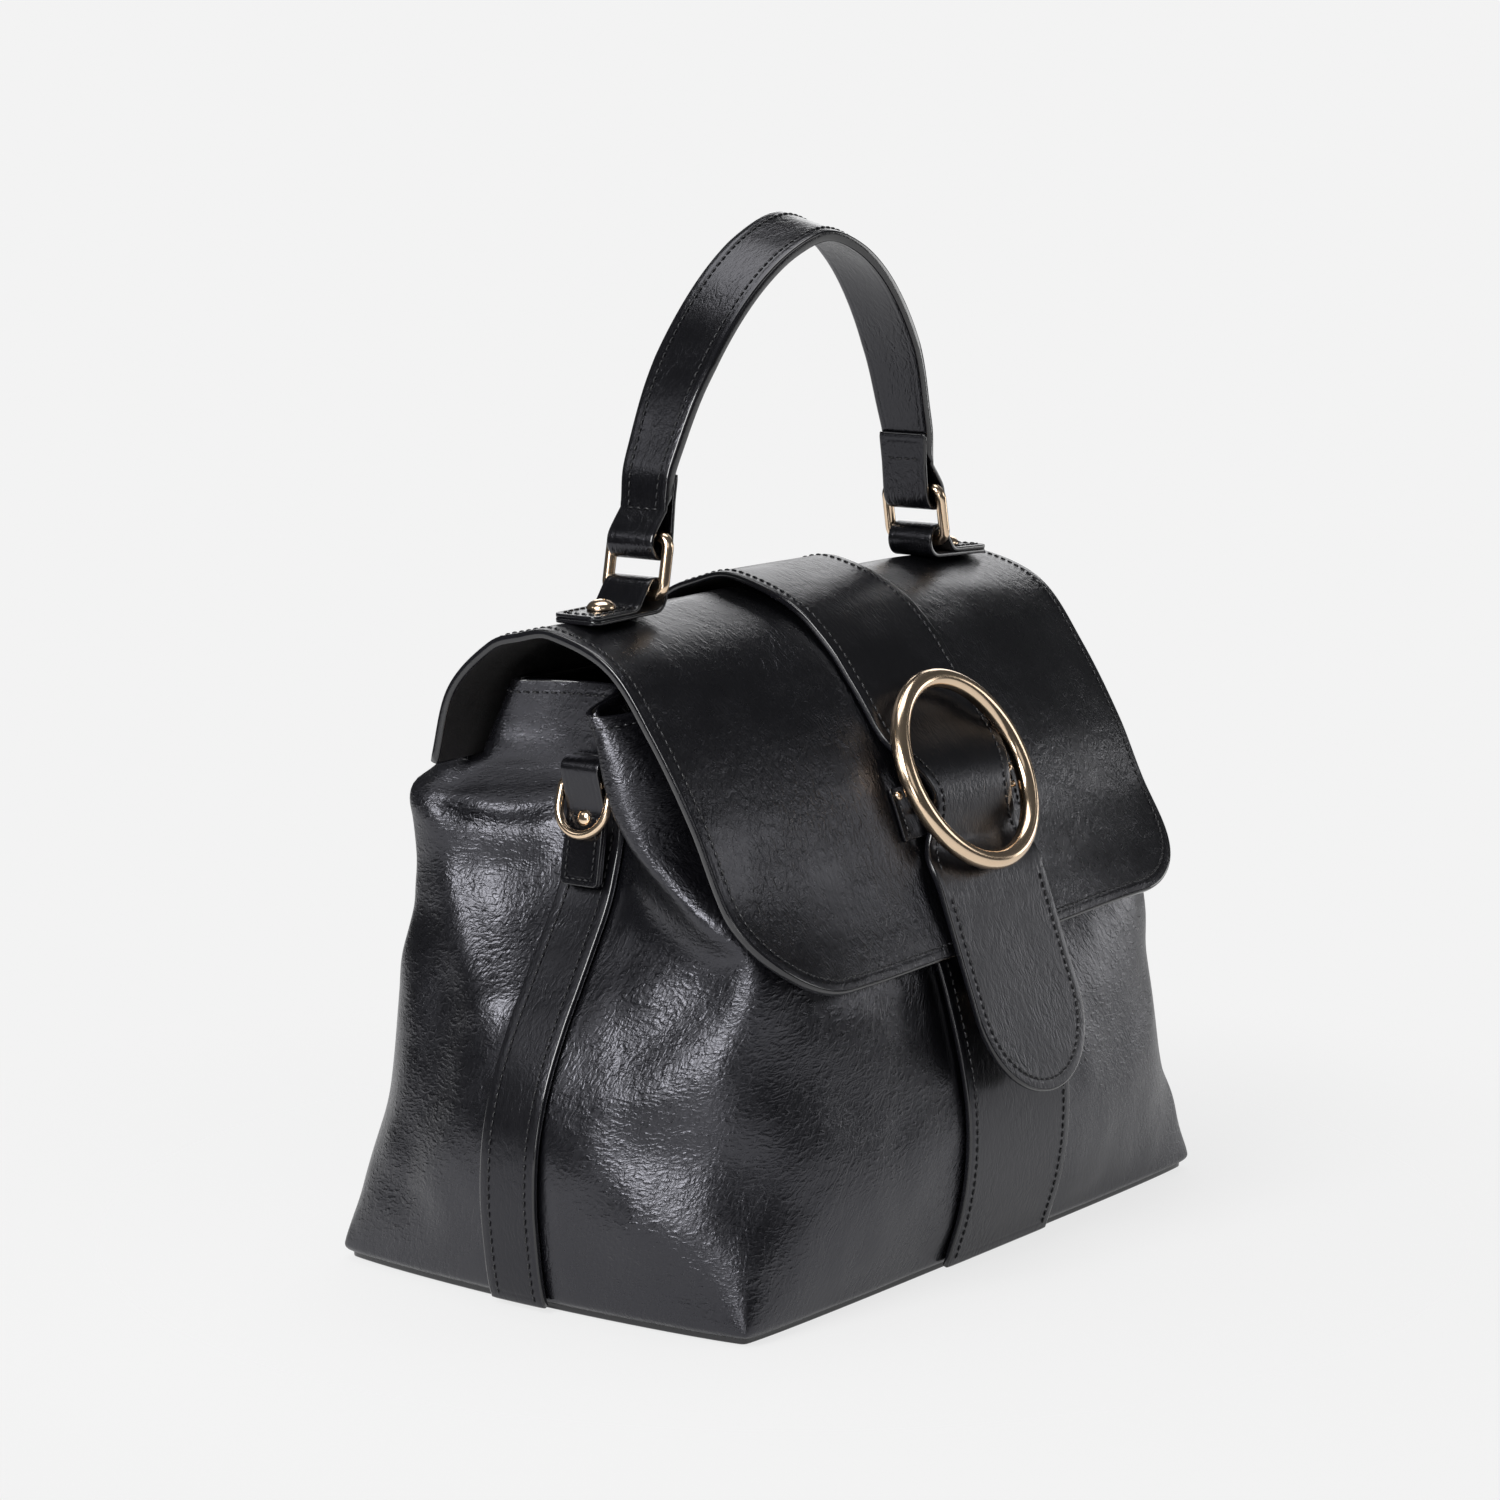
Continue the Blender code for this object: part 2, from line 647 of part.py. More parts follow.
def make_buckle():
    middle, up, normal = ring_frame()
    spin = Matrix((Vector((1, 0, 0)), up, normal)).transposed().to_4x4()
    bpy.ops.mesh.primitive_torus_add(
        major_radius=RING_RADIUS, minor_radius=RING_WIRE / 2, major_segments=44, minor_segments=10
    )
    ring = adopt("ring_buckle", gold)
    ring.matrix_world = Matrix.Translation(middle) @ spin

    # The bar sits low behind the ring, its ends turned up to meet the ring's inner side.
    bar_lift = GAP + KEEPER_LEATHER + GAP + BAR_DIAMETER / 2
    seat = flap_point(0, RING_ALONG_SHARE - BAR_DROP / FLAP_LENGTH, bar_lift)
    inner = RING_INNER / 2 - BAR_DIAMETER * BAR_END_INSET_SHARE
    end_x = sqrt(inner**2 - BAR_DROP**2)
    knee_x = end_x - BAR_DIAMETER
    rise = normal * (middle - seat).dot(normal)
    path = [
        seat + rise * BAR_END_RISE_SHARE + Vector((-end_x, 0, 0)),
        seat + Vector((-knee_x, 0, 0)),
        seat + Vector((knee_x, 0, 0)),
        seat + rise * BAR_END_RISE_SHARE + Vector((end_x, 0, 0)),
    ]
    bar = rod("buckle_bar", path, BAR_DIAMETER, gold)

    centre = RING_ALONG_SHARE - BAR_DROP / FLAP_LENGTH
    half = KEEPER_WIDTH / 2 / FLAP_LENGTH
    levels = [centre - half + 2 * half * i / 4 for i in range(5)]

    def keeper_surface(u, along):
        return flap_point((u - 1 / 2) * KEEPER_LENGTH, along, GAP)

    keeper = sheet("buckle_keeper", keeper_surface, 12, levels, KEEPER_LEATHER, 1, leather)
    pieces = [ring, bar, keeper]
    for side, name in ((-1, "left"), (1, "right")):
        x = side * (KEEPER_LENGTH / 2 - KEEPER_RIVET * KEEPER_RIVET_INSET_SHARE)
        along = centre + half - KEEPER_RIVET * KEEPER_RIVET_INSET_SHARE / FLAP_LENGTH
        place = flap_point(x, along, GAP + KEEPER_LEATHER)
        rivet = "keeper_rivet_" + name
        pieces.append(dome(rivet, KEEPER_RIVET, KEEPER_RIVET_HEIGHT, place, normal, gold))
    return pieces


def tongue_frame():
    """The fold line above the tongue, the way the tongue hangs and its outward direction."""
    end = strap_end()
    fold = flap_point(0, end, strap_lift(end) + STRAP_THICKNESS / 2)
    edge = flap_point(0, 0, 0) - fold
    reach = TONGUE_STANDOFF + STRAP_THICKNESS / 2
    lean = atan2(-edge.y, -edge.z) + asin(reach / edge.length)
    down = Vector((0, -sin(lean), -cos(lean)))
    return fold, down, Vector((0, -cos(lean), sin(lean)))


def make_tongue():
    fold, down, normal = tongue_frame()
    radius = STRAP_WIDTH / 2
    straight = TONGUE_LENGTH - radius

    def tongue_surface(u, reach):
        past = max(0, reach - straight)
        half = sqrt(max(0, radius**2 - past**2))
        x = (2 * u - 1) * half
        return fold + down * reach + Vector((x, 0, 0)) - normal * (STRAP_THICKNESS / 2)

    tip = [straight + radius * sin(pi / 2 * i / 8) for i in range(1, 8)]
    tip.append(straight + radius * cos(TONGUE_TIP_ANGLE))
    levels = [GAP * 2 + (straight - GAP * 2) * i / 4 for i in range(5)] + tip
    levels.reverse()
    return [sheet("strap_tongue", tongue_surface, 8, levels, STRAP_THICKNESS, 1, leather)]


def make_snap():
    fold, down, normal = tongue_frame()
    socket_width = SNAP_DIAMETER + SNAP_RIM
    strip = centre_surface(socket_width, False)

    def inner_face(place):
        return fold + down * place - normal * (STRAP_THICKNESS / 2)

    def room_at(place, u):
        def stands_off(reach):
            point = inner_face(place) - normal * reach
            return point.y - outward(strip, u, point.z, 2 * GAP + BAND_THICKNESS).y

        return find_share(stands_off, 0, 0, BASE_DEPTH / 4)

    rim = (-socket_width / 2, 0, socket_width / 2)
    room = min(room_at(SNAP_PLACE + off, u) for off in rim for u in (0, 1 / 2)) - 3 * GAP
    stud_height = room * SNAP_STUD_SHARE
    stud_place = inner_face(SNAP_PLACE) - normal * GAP
    stud = disc("snap_stud", SNAP_DIAMETER, stud_height, stud_place, -normal, gold)
    socket_height = room - stud_height - SNAP_SEAT
    socket_place = stud_place - normal * (stud_height + GAP)
    disc("snap_socket", socket_width, socket_height, socket_place, -normal, gold)
    return [stud]


def make_side_strap(side, name):
    strap = side_surface(SIDE_STRAP_WIDTH, side)
    levels = levels_between(SIDE_BOTTOM, BODY_HEIGHT * SIDE_STRAP_TOP_SHARE)
    sheet("side_strap_" + name, strap, 4, levels, SIDE_STRAP_LEATHER, 1, leather, SIDE_STRAP_SEAT)


def fold_outline(centre, radius, tail, out, ply, join, step, tail_thickness, length):
    """A strip folded round a bar, as an outline and a hole. One ply runs on as the tail, on the
    side away from out. The other comes back to it at the join, where the fold is step thick."""
    def spot(along, off):
        return centre + tail * along + out * off

    def bend(reach, tip):
        start = -pi / 2
        turn = atan2(tip.y, tip.x) + acos(reach / tip.length) - 2 * pi - start
        angles = [start + turn * i / 16 for i in range(17)]
        return [spot(reach * cos(a), reach * sin(a)) for a in angles] + [spot(*tip)]

    outline = [spot(length, -radius)] + bend(radius, Vector((join, step - radius)))
    if step > tail_thickness:
        outline.append(spot(join, tail_thickness - radius))
    outline.append(spot(length, tail_thickness - radius))
    inner = radius - ply
    return outline, bend(inner, Vector((join - ply, -inner)))


def side_x(height):
    """How far out the side strap's face lies at a height, under the D-ring's tab."""
    strip = side_surface(TAB_WIDTH, 1)
    lift = SIDE_STRAP_SEAT + SIDE_STRAP_LEATHER
    return max(outward(strip, u, height, lift).x for u in (0, 1 / 2, 1))


def d_frame(side):
    """The middle of the D-ring tab's loop, the way the tab hangs and its outward direction."""
    height = BODY_HEIGHT * D_LOOP_HEIGHT_SHARE
    strap = [Vector((side * side_x(z), z)) for z in levels_between(height - TAB_LENGTH, height)]
    down = (strap[0] - strap[-1]).normalized()
    out = Vector((-down.y, down.x)) * side
    bulge = max((spot - strap[-1]).dot(out) for spot in strap)
    return strap[-1] + out * (bulge + TAB_SEAT + TAB_LOOP_RADIUS), down, out


def make_d_ring(side, name):
    loop_centre, down, out = d_frame(side)
    thickness = 2 * TAB_PLY
    outline, hole = fold_outline(
        loop_centre, TAB_LOOP_RADIUS, down, out, TAB_PLY, TAB_JOIN, thickness, thickness, TAB_LENGTH
    )
    upright_plate("d_ring_tab_" + name, outline, [hole], TAB_WIDTH, leather)

    # The ring's bar hangs in the narrowing part of the loop, midway between its two plies.
    inner = TAB_LOOP_RADIUS - TAB_PLY
    tip = TAB_JOIN - TAB_PLY
    middle = (tip - D_BAR_DROP) * inner / tip - inner
    bar = loop_centre + down * D_BAR_DROP + out * middle
    hang = Matrix.Rotation(side * D_REST_LEAN, 2) @ down
    radius = (D_WIDTH - D_WIRE) / 2
    straight = D_LENGTH - D_WIRE - radius
    loop = arc((-radius + D_CORNER, -D_CORNER), D_CORNER, pi / 2, pi, 3)
    loop += arc((0, -straight), radius, pi, 2 * pi, 12)
    loop += arc((radius - D_CORNER, -D_CORNER), D_CORNER, 0, pi / 2, 3)
    path = [Vector((bar.x - hang.x * v.y, v.x, bar.y - hang.y * v.y)) for v in loop]
    ring = wire("d_ring_" + name, path, D_WIRE, gold)

    face = loop_centre + out * (thickness - TAB_LOOP_RADIUS) + down * D_RIVET_DROP
    place, normal = Vector((face.x, 0, face.y)), Vector((out.x, 0, out.y))
    dome("d_ring_rivet_" + name, D_RIVET, D_RIVET_HEIGHT, place, normal, gold)
    return ring, Vector((bar.x, 0, bar.y))


def ring_bars(side):
    """Places of a handle ring's lower and upper bar in the XZ plane. The rings lean inwards."""
    top = max(flap_point(side * HALF_SPACING, i / 60, 0).z for i in range(30, 50))
    low = Vector((side * HALF_SPACING, top + HANDLE_SEAT + HANDLE_TAB_LOOP_RADIUS))
    rise = Vector((-side * sin(HANDLE_RING_LEAN), cos(HANDLE_RING_LEAN)))
    return low, low + rise * HANDLE_RING_HEIGHT


def make_handle_ring(side, name):
    low, high = ring_bars(side)
    half = HANDLE_RING_WIDTH / 2
    corner = HANDLE_RING_CORNER
    far = HANDLE_RING_HEIGHT - corner
    rise = (high - low).normalized()
    path = []
    for across, along, start in (
        (half - corner, far, 0),
        (corner - half, far, pi / 2),
        (corner - half, corner, pi),
        (half - corner, corner, 3 * pi / 2),
    ):
        bend = arc((across, along), corner, start, start + pi / 2, 4)
        path += [Vector((low.x + rise.x * v.y, v.x, low.y + rise.y * v.y)) for v in bend]
    return wire("handle_ring_" + name, path, HANDLE_RING_WIRE, gold)


def make_handle_tab(side, name):
    low = ring_bars(side)[0]
    reach = HANDLE_TAB_LENGTH
    near, far = (flap_point(side * x, 2 / 3, 0) for x in (HALF_SPACING, HALF_SPACING + reach))
    outwards = Vector((side, (far.z - near.z) / reach)).normalized()
    rise = Vector((-outwards.y, outwards.x)) * side
    radius, thickness = HANDLE_TAB_LOOP_RADIUS, 2 * HANDLE_TAB_PLY
    outline, hole = fold_outline(
        low, radius, outwards, rise, HANDLE_TAB_PLY, HANDLE_TAB_JOIN, thickness, thickness, reach
    )
    tab = upright_plate("handle_tab_" + name, outline, [hole], FOLD_WIDTH, leather)
    face = low + rise * (thickness - radius) + outwards * HANDLE_RIVET_PLACE
    place, normal = Vector((face.x, 0, face.y)), Vector((rise.x, 0, rise.y))
    rivet = dome("handle_tab_rivet_" + name, HANDLE_RIVET, HANDLE_RIVET_HEIGHT, place, normal, gold)
    return [tab, rivet]


def foot_frame(side):
    """The middle of the handle's end loop, the way the strap rises and its outward direction."""
    rise = Vector((-side * sin(HANDLE_FOOT_LEAN), cos(HANDLE_FOOT_LEAN)))
    out = Vector((side * rise.y, -side * rise.x))
    return ring_bars(side)[1] + out * END_LOOP_OUT - rise * END_LOOP_DROP, rise, out


def handle_knots():
    """The outer face of the handle from the left foot over the crown to the right foot."""
    outer = END_PLY + GAP + HANDLE_THICKNESS - END_LOOP_RADIUS
    straight = END_PATCH - END_JOIN
    bars = [ring_bars(side)[1].y for side in (-1, 1)]
    line = []
    for side in (-1, 1):
        centre, rise, out = foot_frame(side)
        foot = centre + out * outer + rise * (END_JOIN + GAP)
        half = [foot, foot + rise * (straight / 2), foot + rise * straight]
        for x, z in HANDLE_ARCH_SHARES:
            bar_height = bars[0] + (bars[1] - bars[0]) * (1 + side * x) / 2
            half.append(Vector((side * x * HALF_SPACING, bar_height + z * HANDLE_RISE)))
        line += half if side < 0 else half[-2::-1]
    return [(place, *spot) for place, spot in zip(chord_lengths(line), line)]


def make_handle():
    knots = handle_knots()
    low, high = knots[-1][2], knots[len(knots) // 2][2]

    def handle_surface(u, place):
        x, z = spline(knots, place)
        share = max(0, z - low) / (high - low)
        leaning = max(0, share - HANDLE_LEAN_START_SHARE) / (1 - HANDLE_LEAN_START_SHARE)
        width = HANDLE_END_WIDTH + (HANDLE_CROWN_WIDTH - HANDLE_END_WIDTH) * min(1, 2 * share)
        roll = HANDLE_ROLL * share**2
        across = (1 / 2 - u) * width
        lean = HANDLE_LEAN * leaning**HANDLE_LEAN_POWER
        return Vector((x, across * cos(roll) - lean, z + across * sin(roll)))

    levels = [knots[-1][0] * i / 40 for i in range(41)]
    pieces = [sheet("handle_strap", handle_surface, 2, levels, HANDLE_THICKNESS, -1, leather)]
    step = END_PLY + GAP + HANDLE_THICKNESS
    for side, name in SIDES:
        centre, rise, out = foot_frame(side)
        outline, hole = fold_outline(
            centre, END_LOOP_RADIUS, rise, out, END_PLY, END_JOIN, step, END_PLY, END_PATCH
        )
        pieces.append(upright_plate("handle_end_" + name, outline, [hole], FOLD_WIDTH, leather))
    return pieces


def adopt(name, look):
    """Take the primitive that was just added as a piece of the bag."""
    piece = bpy.context.object
    piece.name = name
    piece.data.name = name
    for collection in list(piece.users_collection):
        collection.objects.unlink(piece)
    PIECES.objects.link(piece)
    piece.data.materials.append(look(name))
    smooth(piece.data)
    return piece


def rod(name, path, diameter, look):
    """An open run of round wire with closed ends."""
    curve = bpy.data.curves.new(name, "CURVE")
    curve.dimensions = "3D"
    curve.bevel_depth = diameter / 2
    curve.bevel_resolution = 2
    curve.use_fill_caps = True
    line = curve.splines.new("POLY")
    line.points.add(len(path) - 1)
    for point, spot in zip(line.points, path):
        point.co = (*spot, 1)
    return add_piece(name, curve, look)


def pivot(name, place, parent, pieces):
    """An empty on a joint's axis that carries the pieces which turn about it."""
    empty = bpy.data.objects.new(name, None)
    empty.location = place
    PIECES.objects.link(empty)
    bpy.context.view_layer.update()
    if parent:
        hang_on(empty, parent)
    for piece in pieces:
        hang_on(piece, empty)
    return empty


def hang_on(child, parent):
    bpy.context.view_layer.update()
    child.parent = parent
    child.matrix_parent_inverse = parent.matrix_world.inverted()


def make_all():
    make_body()
    make_front_band()
    flap_pieces = make_flap() + make_strap() + make_buckle()
    tongue_pieces = make_tongue() + make_snap()
    for side, name in SIDES:
        make_side_strap(side, name)
        d_ring, d_bar = make_d_ring(side, name)
        pivot("d_ring_pivot_" + name, d_bar, None, [d_ring])
        flap_pieces += make_handle_tab(side, name)

    hinge = flap_point(0, 1, -FLAP_LEATHER)
    flap = pivot("flap_hinge", hinge, None, flap_pieces)
    fold, down, normal = tongue_frame()
    pivot("tongue_fold", fold + normal * (STRAP_THICKNESS / 2), flap, tongue_pieces)
    rings = []
    for side, name in SIDES:
        low = ring_bars(side)[0]
        ring = make_handle_ring(side, name)
        rings.append(pivot("handle_ring_pivot_" + name, (low.x, 0, low.y), flap, [ring]))
    high = ring_bars(-1)[1]
    pivot("handle_pivot", (high.x, 0, high.y), rings[0], make_handle())


SIDES = ((-1, "left"), (1, "right"))
clear_scene()
PIECES = bpy.data.collections.new("handbag")
bpy.context.scene.collection.children.link(PIECES)
make_all()
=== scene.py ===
"""Dressed scene of a black top-handle handbag, made round the fixed frame of its solids."""
from math import acos, atan2, cos, pi, radians, sin, sqrt

import bpy
import numpy as np
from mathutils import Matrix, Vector, noise
from mathutils.bvhtree import BVHTree
from mathutils.kdtree import KDTree


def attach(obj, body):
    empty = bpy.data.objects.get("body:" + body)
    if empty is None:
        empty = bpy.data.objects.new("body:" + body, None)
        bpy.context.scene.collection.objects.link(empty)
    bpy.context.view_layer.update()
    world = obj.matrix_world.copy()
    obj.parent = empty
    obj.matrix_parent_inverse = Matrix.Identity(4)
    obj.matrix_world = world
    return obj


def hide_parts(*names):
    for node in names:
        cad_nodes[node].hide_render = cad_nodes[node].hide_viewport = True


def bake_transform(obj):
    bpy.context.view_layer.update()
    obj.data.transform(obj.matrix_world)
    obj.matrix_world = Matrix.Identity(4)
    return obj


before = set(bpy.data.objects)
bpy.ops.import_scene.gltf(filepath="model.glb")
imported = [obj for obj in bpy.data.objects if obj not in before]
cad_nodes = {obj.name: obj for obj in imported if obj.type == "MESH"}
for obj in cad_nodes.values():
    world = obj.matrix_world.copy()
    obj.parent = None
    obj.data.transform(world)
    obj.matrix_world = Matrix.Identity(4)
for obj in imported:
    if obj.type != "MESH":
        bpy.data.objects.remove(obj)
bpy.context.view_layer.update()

scene = bpy.context.scene
scene.view_settings.view_transform = "Standard"


# Camera
# The photograph's viewpoint: from the left front and a little above, with a long lens. The bag
# stands 1.5 m away, its front face turned to the right.
eye = Vector((-1.17109515, -0.85563973, 0.41094453))
towards_bag = Vector((0.7917, 0.5883, -0.1643))
camera_data = bpy.data.cameras.new("studio_camera")
camera_data.sensor_width = 36
camera_data.lens = 98.93
camera = bpy.data.objects.new("studio_camera", camera_data)
camera.location = eye
camera.rotation_euler = towards_bag.to_track_quat("-Z", "Y").to_euler()
scene.collection.objects.link(camera)
scene.camera = camera


# Studio
# A white sweep of paper under the bag and large soft boxes round it. The paper fades into the
# pale background, and keeps only the bag's own shadow.
paper_grey = 0.896
paper_glow = 0.91
mirrored_share = 0.03


def add_node(tree, kind, sockets=None, **settings):
    """A shader node with its settings. Its sockets are given by name or number, each a value or
    an output to link."""
    node = tree.nodes.new("ShaderNode" + kind)
    for name, value in settings.items():
        setattr(node, name, value)
    for key, value in (sockets or {}).items():
        if hasattr(value, "is_output"):
            tree.links.new(value, node.inputs[key])
        else:
            node.inputs[key].default_value = value
    return node


def calc(tree, operation, *values):
    """A math node on values that are numbers or output sockets. Returns its output."""
    return add_node(tree, "Math", dict(enumerate(values)), operation=operation).outputs[0]


def ramp(tree, value, low, high, start=0.0, end=1.0, eased="SMOOTHSTEP"):
    """The value's place between low and high, eased, and scaled from start to end."""
    sockets = dict(enumerate((value, low, high, start, end)))
    return add_node(tree, "MapRange", sockets, interpolation_type=eased).outputs[0]


world = bpy.data.worlds.new("studio_air")
scene.world = world
world.use_nodes = True
air = world.node_tree
air.nodes.clear()
split = add_node(air, "SeparateXYZ", {0: add_node(air, "TexCoord").outputs["Generated"]})
fade = ramp(air, split.outputs["Z"], -0.2, 0.9, 0.03, 0.06, eased="LINEAR")
room = add_node(air, "Background", {"Strength": fade, "Color": (0.93, 0.96, 1.0, 1)})
paper_air = add_node(air, "Background", {"Color": (paper_grey, paper_grey, paper_grey, 1)})
ray = add_node(air, "LightPath")
glossy_ray, camera_ray = ray.outputs["Is Glossy Ray"], ray.outputs["Is Camera Ray"]
pick = calc(air, "MULTIPLY_ADD", glossy_ray, mirrored_share, camera_ray)
air_out = add_node(air, "MixShader", {0: pick, 1: room.outputs[0], 2: paper_air.outputs[0]})
add_node(air, "OutputWorld", {0: air_out.outputs[0]})

sweep_mesh = bpy.data.meshes.new("paper_sweep")
sweep_reach = 1.3
square = ((-1, -1), (1, -1), (1, 1), (-1, 1))
sweep_corners = [(x * sweep_reach, y * sweep_reach, -0.0004) for x, y in square]
sweep_mesh.from_pydata(sweep_corners, [], [(0, 1, 2, 3)])
sweep = bpy.data.objects.new("paper_sweep", sweep_mesh)
scene.collection.objects.link(sweep)
paper = bpy.data.materials.new("studio_paper")
paper.use_nodes = True
sheet = paper.node_tree
sheet.nodes.clear()
place = add_node(sheet, "TexCoord").outputs["Object"]
far = add_node(sheet, "VectorMath", {0: place}, operation="LENGTH")
outer = ramp(sheet, far.outputs["Value"], 0.16, 0.40)
matt = add_node(sheet, "BsdfDiffuse", {"Color": (0.86, 0.86, 0.86, 1)})
clear = add_node(sheet, "BsdfTransparent")
seen = add_node(sheet, "LightPath").outputs["Is Camera Ray"]
glow = add_node(sheet, "Emission", {"Color": (1, 1, 1, 1), "Strength": paper_glow})
glow_share = calc(sheet, "MULTIPLY_ADD", seen, 0.44, 0.40)
lit = add_node(sheet, "MixShader", {0: glow_share, 1: matt.outputs[0], 2: glow.outputs[0]})
gone = calc(sheet, "MULTIPLY", seen, outer)
faded = add_node(sheet, "MixShader", {0: gone, 1: lit.outputs[0], 2: clear.outputs[0]})
add_node(sheet, "OutputMaterial", {0: faded.outputs[0]})
sweep_mesh.materials.append(paper)


def soft_box(name, place, aim, width, height, power):
    """A rectangular studio light at a place, turned to the aim."""
    data = bpy.data.lights.new(name, "AREA")
    data.shape = "RECTANGLE"
    data.size = width
    data.size_y = height
    data.energy = power
    light = bpy.data.objects.new(name, data)
    light.location = place
    light.rotation_euler = (Vector(aim) - Vector(place)).to_track_quat("-Z", "Y").to_euler()
    scene.collection.objects.link(light)


soft_box("box_above", (0.1, 0.15, 1.5), (0, 0, 0.15), 1.1, 0.8, 8)
soft_box("box_left", (-1.245, -0.02, 0.87), (0, 0, 0.12), 0.66, 0.66, 17)
soft_box("box_left_low", (-1.35, -0.52, 0.25), (0, 0, 0.10), 0.35, 0.3, 1.6)
soft_box("box_left_back", (-1.10, 0.89, 0.93), (0, 0, 0.20), 0.3, 0.3, 0.6)
soft_box("box_right_back", (1.30, 0.80, 0.80), (0, 0, 0.18), 1.1, 0.8, 5.2)
soft_box("box_right", (1.62, -0.70, 0.23), (0, 0, 0.10), 0.62, 0.42, 2.1)
soft_box("box_front", (0.95, -1.30, 0.75), (0, 0, 0.15), 0.7, 0.5, 2.2)
soft_box("box_camera", (-1.3, -1.5, 1.2), (0, 0, 0.12), 0.8, 0.8, 1.4)


# Body
# Four panels of soft, glossy coated leather, sewn up the corners into one open shell. It stands
# on its stiff base, and above that the leather folds in at both sides between two wings.
half_width = 0.140
half_depth = 0.08825
body_height = 0.205
body_leather = 0.0020
seam_gap = 0.0006
valley_reach = 0.024
# The shape of the walls at heights from the base to the mouth, in thousandths of the body's own
# height, half width and half depth: the height, the front's middle, its corner and how soft the
# corner is, the side seam, the back's corner with its softness and the back's middle.
body_rows = [[value / 1000 for value in row] for row in (
    (0, 1014, 1000, 997, 34, 1040, 1000, 997, 34, 1014),
    (34, 1042, 993, 989, 60, 1060, 989, 986, 60, 1042),
    (110, 1100, 961, 946, 160, 1079, 961, 946, 160, 1090),
    (190, 1130, 929, 924, 270, 1089, 932, 918, 250, 1100),
    (280, 1130, 904, 916, 310, 1079, 900, 884, 270, 1077),
    (370, 1094, 882, 900, 280, 1039, 886, 861, 250, 1054),
    (455, 1037, 864, 895, 230, 975, 875, 856, 230, 1043),
    (520, 986, 850, 884, 180, 914, 864, 850, 180, 1031),
    (595, 905, 846, 850, 136, 843, 843, 815, 160, 1009),
    (640, 860, 875, 760, 125, 800, 836, 812, 147, 997),
    (690, 805, 896, 600, 113, 762, 829, 812, 136, 984),
    (750, 745, 912, 453, 120, 730, 821, 818, 136, 953),
    (800, 690, 920, 374, 145, 722, 814, 808, 125, 872),
    (832, 653, 922, 342, 160, 720, 811, 690, 150, 716),
    (848, 634, 922, 327, 162, 720, 810, 617, 155, 638),
    (858, 623, 922, 319, 162, 720, 809, 556, 135, 574),
    (869, 610, 921, 309, 161, 720, 808, 497, 130, 514),
    (882, 595, 920, 297, 159, 720, 807, 486, 130, 502),
    (896, 579, 919, 284, 157, 720, 805, 476, 130, 492),
    (930, 535, 918, 256, 150, 720, 800, 445, 100, 468),
    (1000, 420, 914, 187, 135, 720, 786, 375, 100, 415),
)]


def spline(knots, place):
    """Values of a smooth curve through knots, rows of a place followed by its values."""
    last = len(knots) - 2
    index = max(0, min(last, sum(1 for row in knots[1:-1] if row[0] <= place)))
    low, high = knots[index], knots[index + 1]
    before = knots[max(0, index - 1)]
    after = knots[min(last + 1, index + 2)]
    span = high[0] - low[0]
    share = (place - low[0]) / span
    values = []
    for column in range(1, len(low)):
        slope_low = (high[column] - before[column]) / (high[0] - before[0])
        slope_high = (after[column] - low[column]) / (after[0] - low[0])
        rise = high[column] - low[column]
        a = slope_low * span - rise
        b = rise - slope_high * span
        blend = share * (1 - share)
        values.append(low[column] + share * rise + blend * ((1 - share) * a + share * b))
    return values


def bezier(a, b, c, d, share):
    """Points of the curve from a to d that leaves towards b and arrives from c."""
    share = np.asarray(share, float)[:, None]
    rest = 1 - share
    a, b, c, d = (np.array(point, float) for point in (a, b, c, d))
    return a * rest**3 + b * (3 * rest**2 * share) + c * (3 * rest * share**2) + d * share**3


def falloff(distance, reach):
    """1 at no distance, falling smoothly to 0 at the reach and beyond."""
    return np.cos(pi / 2 * np.minimum(1, np.abs(distance) / reach)) ** 2


def body_quarter(height, back, across):
    """Points of one quarter of the body at a height, from the centre (0) to the side seam (1)."""
    row = spline(body_rows, height / body_height)
    centre_y, corner_x, corner_y, soft = (row[8], *row[5:8]) if back else row[:4]
    centre = Vector((0, centre_y * half_depth))
    corner = Vector((corner_x * half_width, corner_y * half_depth))
    side = Vector((row[4] * half_width, 0))
    turn = ((corner - centre).normalized() + (side - corner).normalized()).normalized()
    turn = turn * soft * half_depth
    across = np.asarray(across, float)
    reach = Vector((corner.x * 0.55, centre.y))
    first = bezier(centre, reach, corner - turn, corner, np.clip(across * 2, 0, 1))
    reach = Vector((side.x, max(corner.y * 0.45, min(corner.y, valley_reach))))
    second = bezier(corner, corner + turn, reach, side, np.clip(across * 2 - 1, 0, 1))
    flat = np.where((across <= 0.5)[:, None], first, second)
    upper = max(0, height / body_height - 0.78) / 0.22
    drop = 0 if back else body_height * 0.030 * upper**2 * np.sin(pi * across) ** 2
    depth = np.maximum(flat[:, 1], seam_gap / 2)
    z = np.full(len(across), height) - drop
    return np.stack([flat[:, 0], depth if back else -depth, z], axis=1)


def body_loop(height, steps):
    """Points right round the body at a height, from the front centre over the right side."""
    out = np.linspace(0, 1, steps + 1)
    front = body_quarter(height, False, out)
    back = body_quarter(height, True, out)
    mirror = np.array([-1, 1, 1])
    left = [(back * mirror)[:-1], (front * mirror)[::-1][:-1]]
    return np.concatenate([front[:-1], back[::-1][:-1], *left])


def unit(vectors):
    """The same directions with length 1."""
    return vectors / np.maximum(np.linalg.norm(vectors, axis=-1, keepdims=True), 1e-9)


